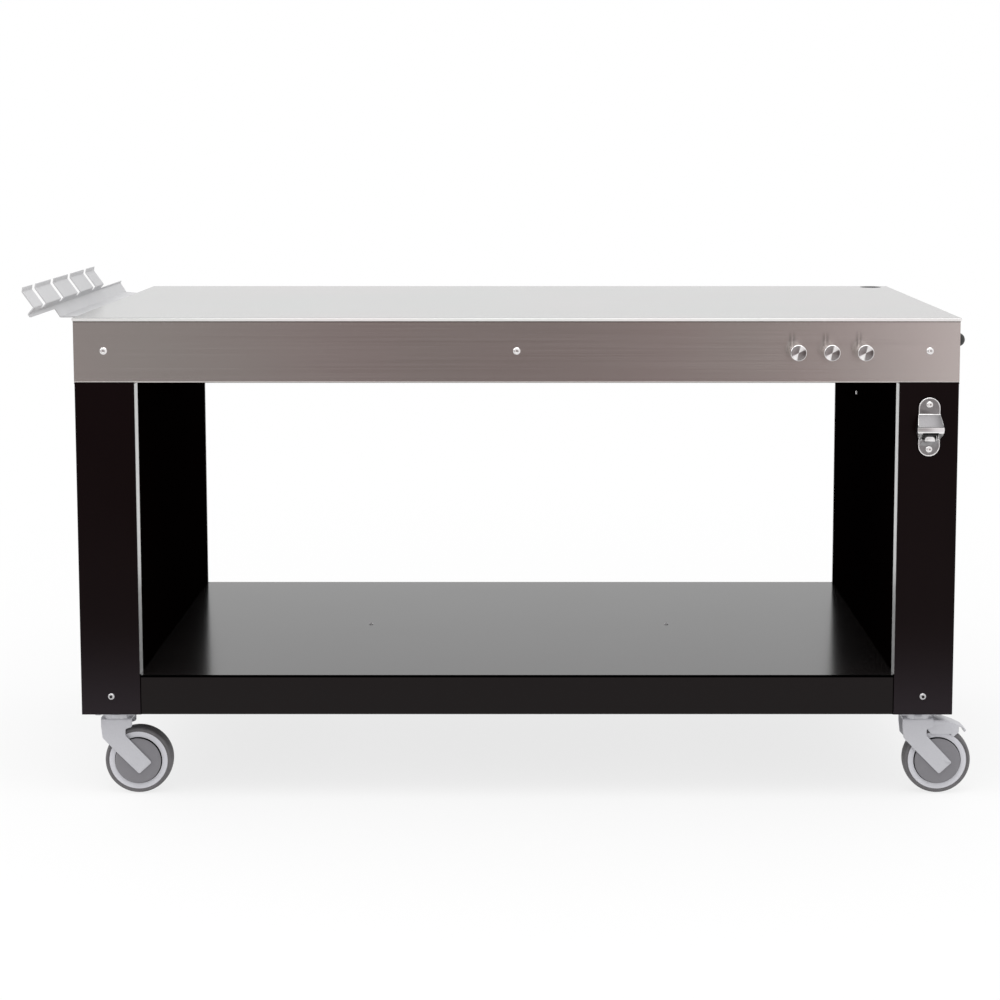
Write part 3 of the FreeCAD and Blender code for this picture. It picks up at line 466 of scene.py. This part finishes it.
# Screws: button heads with a hexagon socket, turned in steel, each one closed
# shell of shank, head and socket. Bright ones hold the apron and the opener,
# and zinc-plated ones the covers' feet, the shelf and rack; their sockets are
# painted near-black, painted shade with some grime.
class Growth(Tree):
    """A geometry tree; its sizes are inputs with names of their own."""

    def __init__(self, name, material, sizes):
        self.tree = bpy.data.node_groups.new(name, "GeometryNodeTree")
        self.material = material
        ends = self.tree.interface
        ends.new_socket("Places", in_out="INPUT", socket_type="NodeSocketGeometry")
        ends.new_socket("Pieces", in_out="OUTPUT", socket_type="NodeSocketGeometry")
        self.sizes = {}
        for size in sizes:
            entry = ends.new_socket(size, in_out="INPUT", socket_type="NodeSocketFloat")
            self.sizes[size] = entry.identifier
        self.group = self.tree.nodes.new("NodeGroupInput")

    def size(self, name):
        return Socket(self, self.group.outputs[name])

    def turned(self, profile, steps):
        """A shell round Z through pairs of height and radius."""
        bands = []
        for (low, low_r), (high, high_r) in zip(profile, profile[1:]):
            sizes = {"Vertices": steps, "Radius Bottom": low_r, "Radius Top": high_r}
            sizes["Depth"] = high - low
            band = self.node("GeometryNodeMeshCone", {"fill_type": "NONE"}, sizes)
            lift = self.node("CombineXYZ", {}, {"Z": low})
            bands.append(self.node("GeometryNodeTransform", {}, {0: band, 1: lift}))
        joined = self.tree.nodes.new("GeometryNodeJoinGeometry")
        for band in bands:
            self.tree.links.new(band.output, joined.inputs[0])
        values = {"Geometry": Socket(self, joined.outputs[0]), "Distance": 0.000004}
        return self.node("GeometryNodeMergeByDistance", {}, values)

    def six_sided(self, shell, socket_r):
        """Draws what lies above the seat and within socket_r into a hexagon."""
        spot = self.node("GeometryNodeInputPosition")
        x, y, z = (self.axis(spot, index) for index in range(3))
        level = self.node("CombineXYZ", {}, {0: x, 1: y})
        reach = self.node("VectorMath", {"operation": "LENGTH"}, {0: level}, output=1)
        sixth = math.pi / 3
        angle = self.node("Math", {"operation": "ARCTAN2"}, {0: y, 1: x})
        angle = angle.math("FLOORED_MODULO", angle, sixth) - sixth / 2
        narrow = math.cos(sixth / 2) / angle.math("COSINE", angle)
        moved = self.node("CombineXYZ", {}, {0: x * narrow, 1: y * narrow, 2: z})
        inside = (reach < socket_r) * (z > 0.0)
        values = {0: shell, 1: inside, 2: moved}
        shell = self.node("GeometryNodeSetPosition", {}, values)
        settings = {"data_type": "BOOLEAN", "domain": "FACE"}
        values = {"Geometry": shell, "Name": "inner", "Value": inside}
        return self.node("GeometryNodeStoreNamedAttribute", settings, values)

    def plant(self, shell, spin_seed, inner=None):
        """Ends the tree: the shell at every place, its Z along the facing, the
        faces that are marked as inner in a material of their own."""
        facing = self.node("GeometryNodeInputNamedAttribute",
                           {"data_type": "FLOAT_VECTOR"}, {"Name": "facing"})
        turn = self.node("FunctionNodeRandomValue", {},
                         {2: 0.0, 3: math.tau, "Seed": spin_seed}, output=1)
        about = self.node("CombineXYZ", {}, {"Z": turn})
        about = self.node("FunctionNodeEulerToRotation", {}, {0: about})
        stand = self.node("FunctionNodeAlignRotationToVector", {"axis": "Z"}, {2: facing})
        stand = self.node("FunctionNodeRotateRotation",
                          {"rotation_space": "LOCAL"}, {0: stand, 1: about})
        places = Socket(self, self.group.outputs["Places"])
        values = {"Points": places, "Instance": shell, "Rotation": stand}
        planted = self.node("GeometryNodeInstanceOnPoints", {}, values)
        real = self.node("GeometryNodeRealizeInstances", {}, {0: planted})
        shell = self.node("GeometryNodeSetShadeSmooth", {}, {0: real, 2: True})
        shell = self.node("GeometryNodeSetMaterial", {}, {0: shell, 2: self.material})
        if inner:
            marked = self.node("GeometryNodeInputNamedAttribute",
                               {"data_type": "BOOLEAN"}, {"Name": "inner"})
            values = {0: shell, 1: marked, 2: inner}
            shell = self.node("GeometryNodeSetMaterial", {}, values)
        self.node("NodeGroupOutput", {}, {0: shell})


def grow(name, growth, sizes, places, body, slot, *nodes):
    """The pieces at their places as one plain mesh that stands for nodes."""
    seeds = bpy.data.meshes.new(name + "_places")
    seeds.from_pydata([place for place, facing in places], [], [])
    facings = seeds.attributes.new("facing", "FLOAT_VECTOR", "POINT")
    for entry, (place, facing) in zip(facings.data, places):
        entry.vector = facing
    piece = put_in(name, seeds)
    modifier = piece.modifiers.new("growth", "NODES")
    modifier.node_group = growth.tree
    for size, value in sizes.items():
        modifier[growth.sizes[size]] = value
    graph = bpy.context.evaluated_depsgraph_get()
    mesh = bpy.data.meshes.new_from_object(piece.evaluated_get(graph))
    piece.modifiers.remove(modifier)
    mesh.set_sharp_from_angle(angle=math.radians(34))
    piece.data = mesh
    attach(piece, body)
    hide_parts(*nodes)


turned_steel = Surface("bright_steel")
ripple = turned_steel.noise(turned_steel.place(), 220.0, 2.0)
bright_steel = turned_steel.finish(
    base_color=turned_steel.mix(ripple, (0.74, 0.72, 0.72), (0.88, 0.87, 0.87)),
    metallic=1.0,
    roughness=0.20 + (ripple - 0.5) * 0.08,
)
# The sockets' finish: near-black, painted shade in the hexagon, with some grime.
shade_and_grime = Surface("socket_shadow_steel")
ripple = shade_and_grime.noise(shade_and_grime.place(), 400.0, 2.0)
socket_steel = shade_and_grime.finish(
    base_color=shade_and_grime.mix(ripple, (0.02, 0.018, 0.018), (0.06, 0.055, 0.055)),
    metallic=0.6,
    roughness=0.6,
)
zinc_plate = Surface("plated_screw_steel")
ripple = zinc_plate.noise(zinc_plate.place(), 220.0, 2.0)
plated_steel = zinc_plate.finish(
    base_color=zinc_plate.mix(ripple, (0.48, 0.47, 0.48), (0.62, 0.61, 0.62)),
    metallic=1.0,
    roughness=0.26 + (ripple - 0.5) * 0.08,
)


def button_screw(name, head_finish, socket_finish):
    """A screw's tree; the socket takes a finish of its own."""
    screw = Growth(name, head_finish, ["Head Radius", "Length"])
    head_r = screw.size("Head Radius")
    shank_r = head_r * 0.45
    length = screw.size("Length")
    # Heights and radii: the shank, the head's edge, its dome and the socket.
    profile = [(-length, 0.0), (-length, shank_r * 0.8)]
    profile += [(shank_r * 0.3 - length, shank_r), (0.0, shank_r)]
    profile += [(0.0, head_r * 0.97), (head_r * 0.04, head_r), (head_r * 0.08, head_r * 0.99)]
    dome_steps = 4
    dome_lean = math.radians(64)
    for part in range(1, dome_steps + 1):
        share = part / dome_steps
        rise = 0.08 + 0.42 * math.sin(dome_lean * share) / math.sin(dome_lean)
        profile.append((head_r * rise, head_r * (1.0 - 0.5 * share ** 1.6)))
    profile += [(head_r * 0.5, head_r * 0.46), (head_r * 0.46, head_r * 0.42)]
    profile += [(head_r * 0.16, head_r * 0.40), (head_r * 0.10, 0.0)]
    button = screw.six_sided(screw.turned(profile, steps=36), head_r * 0.43)
    screw.plant(button, spin_seed=11, inner=socket_finish)
    return screw


bright_screw = button_screw("bright_screw", bright_steel, bright_steel)
dark_socket_screw = button_screw("dark_socket_screw", plated_steel, socket_steel)

face_set_back = 0.002
apron_y = table_depth / 2 - face_set_back
screw_z = table_height - 0.060
cover_foot = 0.160
foot_screw_z = cover_foot + 0.034
screw_x = table_length / 2 - 0.056
foot_screw_x = table_length / 2 - 0.057
screw_length = 0.014
front_face = middle_y - apron_y
rear_face = middle_y + apron_y
front_and_rear = [(front_face, (0, -1, 0)), (rear_face, (0, 1, 0))]


def front_and_back(spots, z):
    """Places across both long faces, at one height."""
    places = []
    for y, facing in front_and_rear:
        for x in spots:
            places.append(((middle_x + x, y, z), facing))
    return places


def put_screws(name, screw, head, places, nodes=None):
    """One set of screws, which stands for the node of its own name."""
    sizes = {"Head Radius": head, "Length": screw_length}
    nodes = [name] if nodes is None else nodes
    grow("set_" + name, screw, sizes, places, "table", "bright_steel", *nodes)


places = front_and_back((-screw_x, 0.0, screw_x), screw_z)
put_screws("apron_screws", bright_screw, 0.0070, places)
places = front_and_back((-foot_screw_x, foot_screw_x), foot_screw_z)
put_screws("foot_screws", dark_socket_screw, 0.0065, places)

shelf_screw_x = 0.298
spots = [(middle_x + side * shelf_screw_x, middle_y, shelf_top) for side in (-1, 1)]
put_screws("shelf_screws", dark_socket_screw, 0.0040, [(spot, (0, 0, 1)) for spot in spots])

rack_screw_x = middle_x - table_length / 2
rack_screw_y = middle_y - 0.201
rack_screw_z = table_height - 0.0375
rack_screw_pitch = 0.251
spots = [
    (rack_screw_x, rack_screw_y + rack_screw_pitch * count, rack_screw_z)
    for count in range(3)
]
put_screws("rack_screws", dark_socket_screw, 0.0055, [(spot, (-1, 0, 0)) for spot in spots])

# Panel screw: a smaller bright screw of the same kind, which holds the sheet of
# the right-hand inner panel near its top.
leg_width = 0.108
panel_sheet = 0.0015
panel_face = middle_x + table_length / 2 - face_set_back - leg_width + panel_sheet
panel_screw_y = middle_y + 0.102
panel_screw_z = 0.693
places = [((panel_face, panel_screw_y, panel_screw_z), (-1, 0, 0))]
put_screws("panel_screw", bright_screw, 0.0042, places, [])

# Hook pins: three stainless pins, each turned in one piece with a collar, a
# waisted stem and a broad dished head that keeps the fine rings of the lathe.
# They are screwed into the front apron to hang tools on.
pin_head_r = 0.0145
pin_stem_r = 0.0060
pin_reach = 0.0380
pin_z = screw_z
pin_root = 0.014
ring_pitch = 0.0007
glint_lean = math.radians(52)
lathe = Surface("turned_pin_steel")
spot = lathe.place()
ripple = lathe.noise(spot, 160.0, 2.0)
along = lathe.axis(spot, 0) - first_pin_x
nearest = (along / pin_pitch).math("ROUND", along / pin_pitch) * pin_pitch
beside = along - nearest
above = lathe.axis(spot, 2) - pin_z
off_axis = lathe.node("CombineXYZ", {}, {0: beside, 1: above})
ring_r = lathe.node("VectorMath", {"operation": "LENGTH"}, {0: off_axis}, output=1)
rings = ring_r.math("SINE", ring_r * (math.tau / ring_pitch))
# Each head's face is painted dark but for a bright bow-tie across it: a painted highlight,
# with painted shade beside it.
angle = lathe.node("Math", {"operation": "ARCTAN2"}, {0: above, 1: beside})
painted_glint = angle.math("COSINE", (angle - glint_lean) * 2.0).fade(0.35, 0.95)
in_head = lathe.axis(spot, 1) < front_y - pin_reach + 0.008
face = (ring_r < pin_head_r - 0.0009) * in_head
painted_dark = face * (1 - painted_glint)
pin_steel = lathe.finish(
    base_color=lathe.mix(painted_dark, (0.97, 0.96, 0.96), (0.30, 0.28, 0.28)),
    metallic=1.0,
    roughness=0.14 + face * painted_glint * 0.3 + (ripple - 0.5) * 0.06,
    normal=lathe.bump(rings, 0.5, 0.00004),
)
pin = Growth("hook_pin", pin_steel, ["Head Radius", "Stem Radius", "Reach"])
head_r = pin.size("Head Radius")
stem_r = pin.size("Stem Radius")
reach = pin.size("Reach")
# Heights and radii: the root, collar, stem, flare, rim and dished face.
profile = [(-pin_root, 0.0), (-pin_root, stem_r * 0.4)]
profile += [(0.001 - pin_root, stem_r * 0.5), (0.0, stem_r * 0.5)]
profile += [(0.0, stem_r * 1.44), (0.0004, stem_r * 1.5), (0.0026, stem_r * 1.5)]
profile += [(0.0031, stem_r * 1.43), (0.0036, stem_r * 1.14), (0.0046, stem_r)]
profile += [(reach - 0.0115, stem_r), (reach - 0.0098, stem_r * 1.12)]
profile += [(reach - 0.0086, stem_r * 1.5), (reach - 0.0080, head_r - 0.0018)]
profile += [(reach - 0.0077, head_r - 0.0008), (reach - 0.0070, head_r - 0.0001)]
profile += [(reach - 0.0064, head_r), (reach - 0.0014, head_r)]
profile += [(reach - 0.0006, head_r - 0.0003), (reach - 0.0001, head_r - 0.0010)]
profile += [(reach, head_r - 0.0016), (reach - 0.0001, head_r - 0.0022)]
profile += [(reach - 0.0006, head_r * 0.72), (reach - 0.0010, head_r * 0.45)]
profile += [(reach - 0.0012, head_r * 0.2), (reach - 0.0013, 0.0)]
pin.plant(pin.turned(profile, steps=64), spin_seed=5)
sizes = {"Head Radius": pin_head_r, "Stem Radius": pin_stem_r, "Reach": pin_reach}
places = [
    ((first_pin_x - pin_pitch * count, front_face, pin_z), (0, -1, 0))
    for count in range(pin_count)
]
grow("pins", pin, sizes, places, "table", "bright_steel", "hook_pins")

# Buffer knob: a domed head moulded in black rubber round a steel stud, screwed
# into the right-hand apron.
rubber = Surface("black_rubber")
grainy = rubber.noise(rubber.place(), 1200.0, 2.0)
black_rubber = rubber.finish(
    base_color=rubber.mix(grainy, (0.018, 0.018, 0.018), (0.028, 0.027, 0.027)),
    roughness=0.5 + (grainy - 0.5) * 0.1,
    normal=rubber.bump(grainy, 0.1, 0.0003),
)
knob = Growth("buffer_knob", black_rubber, ["Radius", "Reach"])
knob_r = knob.size("Radius")
knob_reach = knob.size("Reach")
stud_r = 0.004
stud_length = 0.014
profile = [(-stud_length, 0.0), (-stud_length, stud_r), (0.0, stud_r), (0.0, knob_r * 0.96)]
profile += [(0.0005, knob_r), (0.0022, knob_r), (0.0026, knob_r * 0.965)]
profile += [(0.0032, knob_r * 0.965), (0.0036, knob_r), (knob_reach - knob_r, knob_r)]
dome_steps = 9
for part in range(1, dome_steps + 1):
    lean = math.pi / 2 * part / dome_steps
    rise = knob_reach - knob_r + knob_r * math.sin(lean)
    profile.append((rise, knob_r * math.cos(lean) if part < dome_steps else 0.0))
knob.plant(knob.turned(profile, steps=48), spin_seed=3)
knob_seat = (
    middle_x + table_length / 2 - face_set_back,
    front_y + 0.060,
    table_height - 0.045,
)
sizes = {"Radius": 0.0125, "Reach": 0.0200}
grow("knob", knob, sizes, [(knob_seat, (1, 0, 0))], "table", "black_rubber", "buffer_knob")

# Cable grommet: a moulded ring flush in the worktop, with a cap that closes it
# and a shallow finger dish in the cap.
plastic = Surface("dark_plastic")
stipple = plastic.noise(plastic.place(), 1500.0, 2.0)
dark_plastic = plastic.finish(
    base_color=plastic.mix(stipple, (0.045, 0.045, 0.045), (0.075, 0.075, 0.075)),
    roughness=0.65,
    specular_level=0.04,
    normal=plastic.bump(stipple, 0.1, 0.0002),
)
dress(["cable_grommet"], dark_plastic)


# Tool rack: one sheet folded into a comb with open slots, on a plate that turns
# under the worktop's edge and has its rear corner cut off at a slant. A light
# grey satin coat has rounded off every cut edge.
def eased(name, nodes, width, materials, body, sort=None, clip=None):
    """A copy of pressed or cast pieces with their long sharp edges rounded. The
    roundings take the last material; sort gives a face the number of its own;
    clip is a point and a direction, and all beyond that plane is cut away."""
    shell = bmesh.new()
    for node in nodes:
        shell.from_mesh(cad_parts[node].data)
    bmesh.ops.remove_doubles(shell, verts=shell.verts, dist=0.000002)
    if clip:
        whole = [*shell.verts, *shell.edges, *shell.faces]
        cut = bmesh.ops.bisect_plane(
            shell, geom=whole, dist=0.000001, plane_co=clip[0], plane_no=clip[1],
            clear_outer=True)
        rim = [part for part in cut["geom_cut"] if isinstance(part, bmesh.types.BMEdge)]
        bmesh.ops.holes_fill(shell, edges=rim)
        bmesh.ops.recalc_face_normals(shell, faces=shell.faces)
    flat = math.radians(0.5)
    least_edge = 0.003
    bmesh.ops.dissolve_limit(shell, angle_limit=flat, verts=shell.verts, edges=shell.edges)
    weight = shell.edges.layers.float.new("bevel_weight_edge")
    for edge in shell.edges:
        sharp = edge.calc_face_angle(0.0) > math.radians(30)
        edge[weight] = 1.0 if sharp and edge.calc_length() > least_edge else 0.0
    mesh = bpy.data.meshes.new(name)
    shell.to_mesh(mesh)
    shell.free()
    mesh.materials.clear()
    for material in materials:
        mesh.materials.append(material)
    for face in mesh.polygons:
        spots = [mesh.vertices[index].co for index in face.vertices]
        face.material_index = sort(spots) if sort else 0
    piece = put_in(name, mesh)
    rounding = piece.modifiers.new("rounding", "BEVEL")
    rounding.width = width
    rounding.segments = 2
    rounding.limit_method = "WEIGHT"
    rounding.material = len(materials) - 1
    rounding.use_clamp_overlap = False
    graph = bpy.context.evaluated_depsgraph_get()
    rounded = bpy.data.meshes.new_from_object(piece.evaluated_get(graph))
    piece.modifiers.remove(rounding)
    shell = bmesh.new()
    shell.from_mesh(rounded)
    bmesh.ops.remove_doubles(shell, verts=shell.verts, dist=0.000005)
    shell.to_mesh(rounded)
    shell.free()
    piece.data = rounded
    rounded.shade_smooth()
    rounded.set_sharp_from_angle(angle=math.radians(32))
    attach(piece, body)
    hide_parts(*nodes)


satin = Surface("rack_grey")
speck = satin.noise(satin.place(), 700.0, 2.0)
patches = satin.noise(satin.place(), 9.0, 2.0)
rack_grey = satin.finish(
    base_color=satin.mix(patches, (0.48, 0.48, 0.49), (0.56, 0.56, 0.57)),
    roughness=0.45 + (speck - 0.5) * 0.08,
    normal=satin.bump(speck, 0.05, 0.0003),
)
slant_width = 0.055
slant_length = 0.048
slant_x = middle_x - table_length / 2 - slant_width
slant_y = front_y + 0.761
slant = ((slant_x, slant_y, 0), (slant_length, slant_width, 0))
cut_edge = 0.0004
eased("rack", ["tool_rack"], cut_edge, [rack_grey], "table", clip=slant)

# Bottle opener: one casting on the right-hand leg, held by two screws. Its
# faces are satin, the hood's face painted darker than the plate as shade, and
# its edges are polished bright, with painted highlights on the hood's lip and
# cheeks and a painted shade band on the hood's rounded front edge above the
# lip. The hollow under the hood is painted near-black as shade, partly the dark
# skin of the casting; a half-round tooth stands in the mouth.
opener_x = middle_x + table_length / 2 - 0.0555
opener_face = front_face - 0.0035
hood_front = front_face - 0.022
hood_top = 0.715
hood_foot = 0.6815
cheek_foot = 0.669
mouth_half = 0.014
lip_height = 0.0028
hood_wall = 0.003
hood_roof = 0.005
tooth_half = 0.009
tooth_rise = 0.007
tooth_drop = 0.002
slack = 0.0001


def opener_face_kind(spots):
    """1 in the hollow under the hood, 2 on the tooth, 0 elsewhere."""
    beside = all(abs(spot.x - opener_x) < mouth_half + slack for spot in spots)
    behind = all(spot.y > hood_front + hood_wall + slack for spot in spots)
    over_foot = all(spot.z > hood_foot - 0.001 - slack for spot in spots)
    under_roof = all(spot.z < hood_top - hood_roof + slack for spot in spots)
    proud = all(spot.y < opener_face + slack for spot in spots)
    low = all(spot.z < cheek_foot + tooth_rise + slack for spot in spots)
    high = all(spot.z > cheek_foot - tooth_drop - slack for spot in spots)
    near = all(abs(spot.x - opener_x) < tooth_half + slack for spot in spots)
    if beside and behind and over_foot and under_roof:
        return 1
    return 2 if near and proud and low and high and behind else 0


cast = Surface("satin_casting")
spot = cast.place()
pits = cast.noise(spot, 350.0, 3.0)
off_middle = cast.axis(spot, 0) - opener_x
beside = (off_middle < mouth_half) * (off_middle > -mouth_half)
depth = cast.axis(spot, 1)
height = cast.axis(spot, 2)
on_plate = depth > opener_face - 0.0006
behind_lip = (height < hood_foot + lip_height) * (depth < hood_front + 0.0036)
in_mouth = on_plate * (height > cheek_foot + 0.0005) * (height < hood_foot + 0.002)
# The hollow under the hood is painted black in this finish: painted shade.
hollow_shade = beside * (in_mouth + behind_lip)
# The cheeks and the hood's lower lip are painted bright: painted highlights.
cheek_highlight = (1 - beside) * (height < hood_foot + lip_height) * (1 - on_plate)
lip_highlight = (depth < hood_front + 0.0006) * (height < hood_top - 0.0195)
# The hood's face is painted darker than the plate of the same metal: painted shade.
shaded_face_metal = cast.mix(pits, (0.150, 0.146, 0.150), (0.215, 0.210, 0.215))
plate_metal = cast.mix(pits, (0.23, 0.225, 0.23), (0.35, 0.345, 0.35))
satin_metal = cast.mix(on_plate, shaded_face_metal, plate_metal)
satin_metal = cast.mix(lip_highlight, satin_metal, (0.78, 0.77, 0.78))
satin_metal = cast.mix(cheek_highlight, satin_metal, (0.88, 0.87, 0.87))
satin_casting = cast.finish(
    base_color=cast.mix(hollow_shade, satin_metal, (0.006, 0.006, 0.006)),
    metallic=1 - hollow_shade,
    roughness=0.30 + (pits - 0.5) * 0.12,
    specular_level=0.1,
    normal=cast.bump(pits, 0.08, 0.0002),
)
# The hollow's finish, near-black: painted shade in the mouth, partly the dark skin of the
# casting.
skin = Surface("shaded_casting_skin")
sand = skin.noise(skin.place(), 700.0, 3.0)
shaded_casting_skin = skin.finish(
    base_color=skin.mix(sand, (0.004, 0.004, 0.004), (0.012, 0.011, 0.011)),
    roughness=0.85,
    specular_level=0.1,
)
shine = Surface("polished_edge")
spot = shine.place()
ripple = shine.noise(spot, 300.0, 2.0)
depth = shine.axis(spot, 1)
height = shine.axis(spot, 2)
# A band of the hood's rounded front edge is painted dark: painted shade in the crease above
# the lip.
crease_shade = (depth < hood_front + 0.0026) * (height > hood_top - 0.0215)
crease_shade = crease_shade * (height < hood_top - 0.0160)
in_mouth = (depth > hood_front + 0.004) * (height < cheek_foot + 0.012)
tooth_skin = in_mouth * (depth < opener_face - 0.0020)
polish = shine.mix(ripple, (0.86, 0.85, 0.85), (0.96, 0.95, 0.95))
polished_edge = shine.finish(
    base_color=shine.mix(crease_shade, polish, (0.10, 0.098, 0.10)),
    metallic=1.0,
    roughness=0.16 + (ripple - 0.5) * 0.06 + tooth_skin * 0.30,
)
finishes = [satin_casting, shaded_casting_skin, polished_edge]
eased("opener", ["bottle_opener"], 0.0009, finishes, "table",
      opener_face_kind)

# The opener's plate has a polished bead all round its edge, the hood a ridge
# where it leaves the plate, and the tooth is a half-round lug, drawn as rings
# that step out from the plate and in again at the front.
plate_r = 0.0195
plate_low = 0.639
plate_high = 0.746
half_steps = 16
steps = 4 * half_steps


def join_rings(shell, rings, closed=False):
    """Faces from each ring to the next; a row that isn't closed has two ends."""
    following = rings[1:] + rings[:1] if closed else rings[1:]
    for ring, after in zip(rings, following):
        for index, point in enumerate(ring):
            ahead = (index + 1) % len(ring)
            shell.faces.new((point, ring[ahead], after[ahead], after[index]))
    if not closed:
        shell.faces.new(rings[0])
        shell.faces.new(rings[-1])


bead = [(-0.0001, -0.0004), (-0.0001, 0.0005), (0.0005, 0.0011), (0.0012, 0.0012)]
bead += [(0.0018, 0.0008), (0.0021, -0.0004)]
shell = bmesh.new()
rings = []
for inset, proud in bead:
    ring = []
    for count in range(steps):
        angle = math.tau * (count + 0.5) / steps
        centre = plate_high - plate_r if math.sin(angle) > 0 else plate_low + plate_r
        x = opener_x + (plate_r - inset) * math.cos(angle)
        z = centre + (plate_r - inset) * math.sin(angle)
        ring.append(shell.verts.new((x, opener_face - proud, z)))
    rings.append(ring)
join_rings(shell, rings, closed=True)

tooth_r = 0.0093
tooth_z = cheek_foot - 0.0003
tooth_foot_z = cheek_foot - 0.0022
foot_share = 0.96
tooth = [(0.0, -0.0004), (0.0, 0.0078), (0.0004, 0.0088), (0.0012, 0.0093)]
rings = []
for inset, proud in tooth:
    ring = []
    for count in range(half_steps + 1):
        angle = math.pi * count / half_steps
        x = opener_x + (tooth_r - inset) * math.cos(angle)
        rise = (tooth_r - inset) * math.sin(angle)
        ring.append(shell.verts.new((x, opener_face - proud, tooth_z + rise)))
    for half in (0.0, (tooth_r - inset) * foot_share):
        foot = (opener_x + half, opener_face - proud, tooth_foot_z + inset)
        ring.append(shell.verts.new(foot))
    rings.append(ring)
join_rings(shell, rings)

ridge_r = 0.0014
ridge_half = plate_r + 0.0006
ridge_steps = 12
rings = []
for share in (-1.0, -0.97, 0.97, 1.0):
    ring = []
    for count in range(ridge_steps):
        angle = math.tau * count / ridge_steps
        radius = ridge_r * (1.0 if abs(share) < 1.0 else 0.6)
        y = opener_face - 0.0010 + radius * math.cos(angle)
        z = hood_top + radius * math.sin(angle)
        ring.append(shell.verts.new((opener_x + ridge_half * share, y, z)))
    rings.append(ring)
join_rings(shell, rings)

bmesh.ops.recalc_face_normals(shell, faces=shell.faces)
trim_mesh = bpy.data.meshes.new("opener_trim")
shell.to_mesh(trim_mesh)
shell.free()
trim_mesh.shade_smooth()
trim_mesh.set_sharp_from_angle(angle=math.radians(50))
trim_mesh.materials.append(polished_edge)
opener_trim = put_in("opener_trim", trim_mesh)
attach(opener_trim, "table")

upper_screw_z = 0.733
lower_screw_z = 0.652
spots = [(opener_x, opener_face, z) for z in (upper_screw_z, lower_screw_z)]
put_screws("opener_screws", bright_screw, 0.0065, [(spot, (0, -1, 0)) for spot in spots])

# Seam strips: dark strips in the matt black finish fill the narrow seam
# between each leg and the end of a shelf rail: painted shade in the seam.
seam_x = table_length / 2 - face_set_back - leg_width
seam_gap = 0.0020
strip_width = 0.0019
strip_depth = 0.006
strip_set_back = 0.0010
strip_edge = 0.0004
seam_shade_mesh = bpy.data.meshes.new("seam_shade_strips")
shell = bmesh.new()
for side in (-1, 1):
    for face_y, inward in ((front_face, 1), (rear_face, -1)):
        cube = bmesh.ops.create_cube(shell, size=1.0)["verts"]
        size = (strip_width, strip_depth, shelf_top - cover_foot)
        spot = (
            middle_x + side * (seam_x - seam_gap / 2),
            face_y + inward * (strip_set_back + strip_depth / 2),
            (shelf_top + cover_foot) / 2,
        )
        bmesh.ops.scale(shell, vec=size, verts=cube)
        bmesh.ops.translate(shell, vec=spot, verts=cube)
upright = [edge for edge in shell.edges if edge.calc_length() > strip_depth * 2]
bmesh.ops.bevel(shell, geom=upright, offset=strip_edge, segments=2, affect="EDGES")
shell.to_mesh(seam_shade_mesh)
shell.free()
seam_shade_mesh.materials.append(matt_black)
seam_shade = put_in("seam_shade_strips", seam_shade_mesh)
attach(seam_shade, "table")

# Casters: a bolted plate, a fork pressed from sheet and a swivel head, all in
# a light grey coat. The right-hand ones have a brake pedal over the wheel.
enamel = Surface("caster_grey")
mottle = enamel.noise(enamel.place(), 500.0, 2.0)
caster_grey = enamel.finish(
    base_color=enamel.mix(mottle, (0.50, 0.50, 0.53), (0.57, 0.57, 0.60)),
    metallic=0.35,
    roughness=0.38 + (mottle - 0.5) * 0.1,
)
caster_names = ["front_left", "front_right", "rear_left", "rear_right"]
dress(["caster_plates", "kingpins", "caster_bolts"], caster_grey)


def pressed(kind, node, body):
    """A sheet part of a caster, its cut edges rounded by the coat."""
    eased("pressed_" + kind, [node], cut_edge, [caster_grey], body)


for name in caster_names:
    dress(["axle_" + name], caster_grey)
    pressed("fork_" + name, "fork_" + name, "swivel_" + name)
    if name.endswith("right"):
        dress(["pedal_pin_" + name], caster_grey)
        pressed("pedal_" + name, "brake_pedal_" + name, "pedal_" + name)

# Thread guards: a dished disc of darker grey plastic on each side of the hub,
# with a fine turned ring near its edge.
disc = Surface("guard_grey")
grain = disc.noise(disc.place(), 900.0, 2.0)
guard_grey = disc.finish(
    base_color=disc.mix(grain, (0.18, 0.175, 0.19), (0.22, 0.215, 0.23)),
    roughness=0.5,
)
for name in caster_names:
    dress(["thread_guards_" + name], guard_grey)

# Wheels: a moulded core whose pale rim shows round the guard, its face under
# the guard painted near-black as the painted shade of the gap between the two,
# and a solid tyre of grey rubber seated on it.
caster_x = table_length / 2 - 0.059
caster_trail = 0.038
axle_z = 0.0625
hub_r = 0.0200
gap_r = 0.0439
moulded = Surface("wheel_core_grey")
spot = moulded.place()
grain = moulded.noise(spot, 900.0, 2.0)
across = moulded.axis(spot, 0) - middle_x - caster_trail
across = across.math("ABSOLUTE", across) - caster_x
off_axle = moulded.node("CombineXYZ", {}, {0: across, 1: moulded.axis(spot, 2) - axle_z})
wheel_r = moulded.node("VectorMath", {"operation": "LENGTH"}, {0: off_axle}, output=1)
gap_shade = (wheel_r < gap_r) * (wheel_r > hub_r)
pale_core = moulded.mix(grain, (0.61, 0.61, 0.65), (0.67, 0.67, 0.71))
core_grey = moulded.finish(
    base_color=moulded.mix(gap_shade, pale_core, (0.008, 0.008, 0.009)),
    roughness=0.42 + gap_shade * 0.3,
)
tread = Surface("tyre_grey")
grain = tread.noise(tread.place(), 1100.0, 3.0)
scuff = tread.noise(tread.place(), 60.0, 2.0)
tyre_grey = tread.finish(
    base_color=tread.mix(scuff, (0.10, 0.095, 0.10), (0.16, 0.155, 0.16)),
    roughness=0.6,
    normal=tread.bump(grain, 0.15, 0.0003),
)
for name in caster_names:
    dress(["wheel_core_" + name], core_grey)
    dress(["tyre_" + name], tyre_grey)
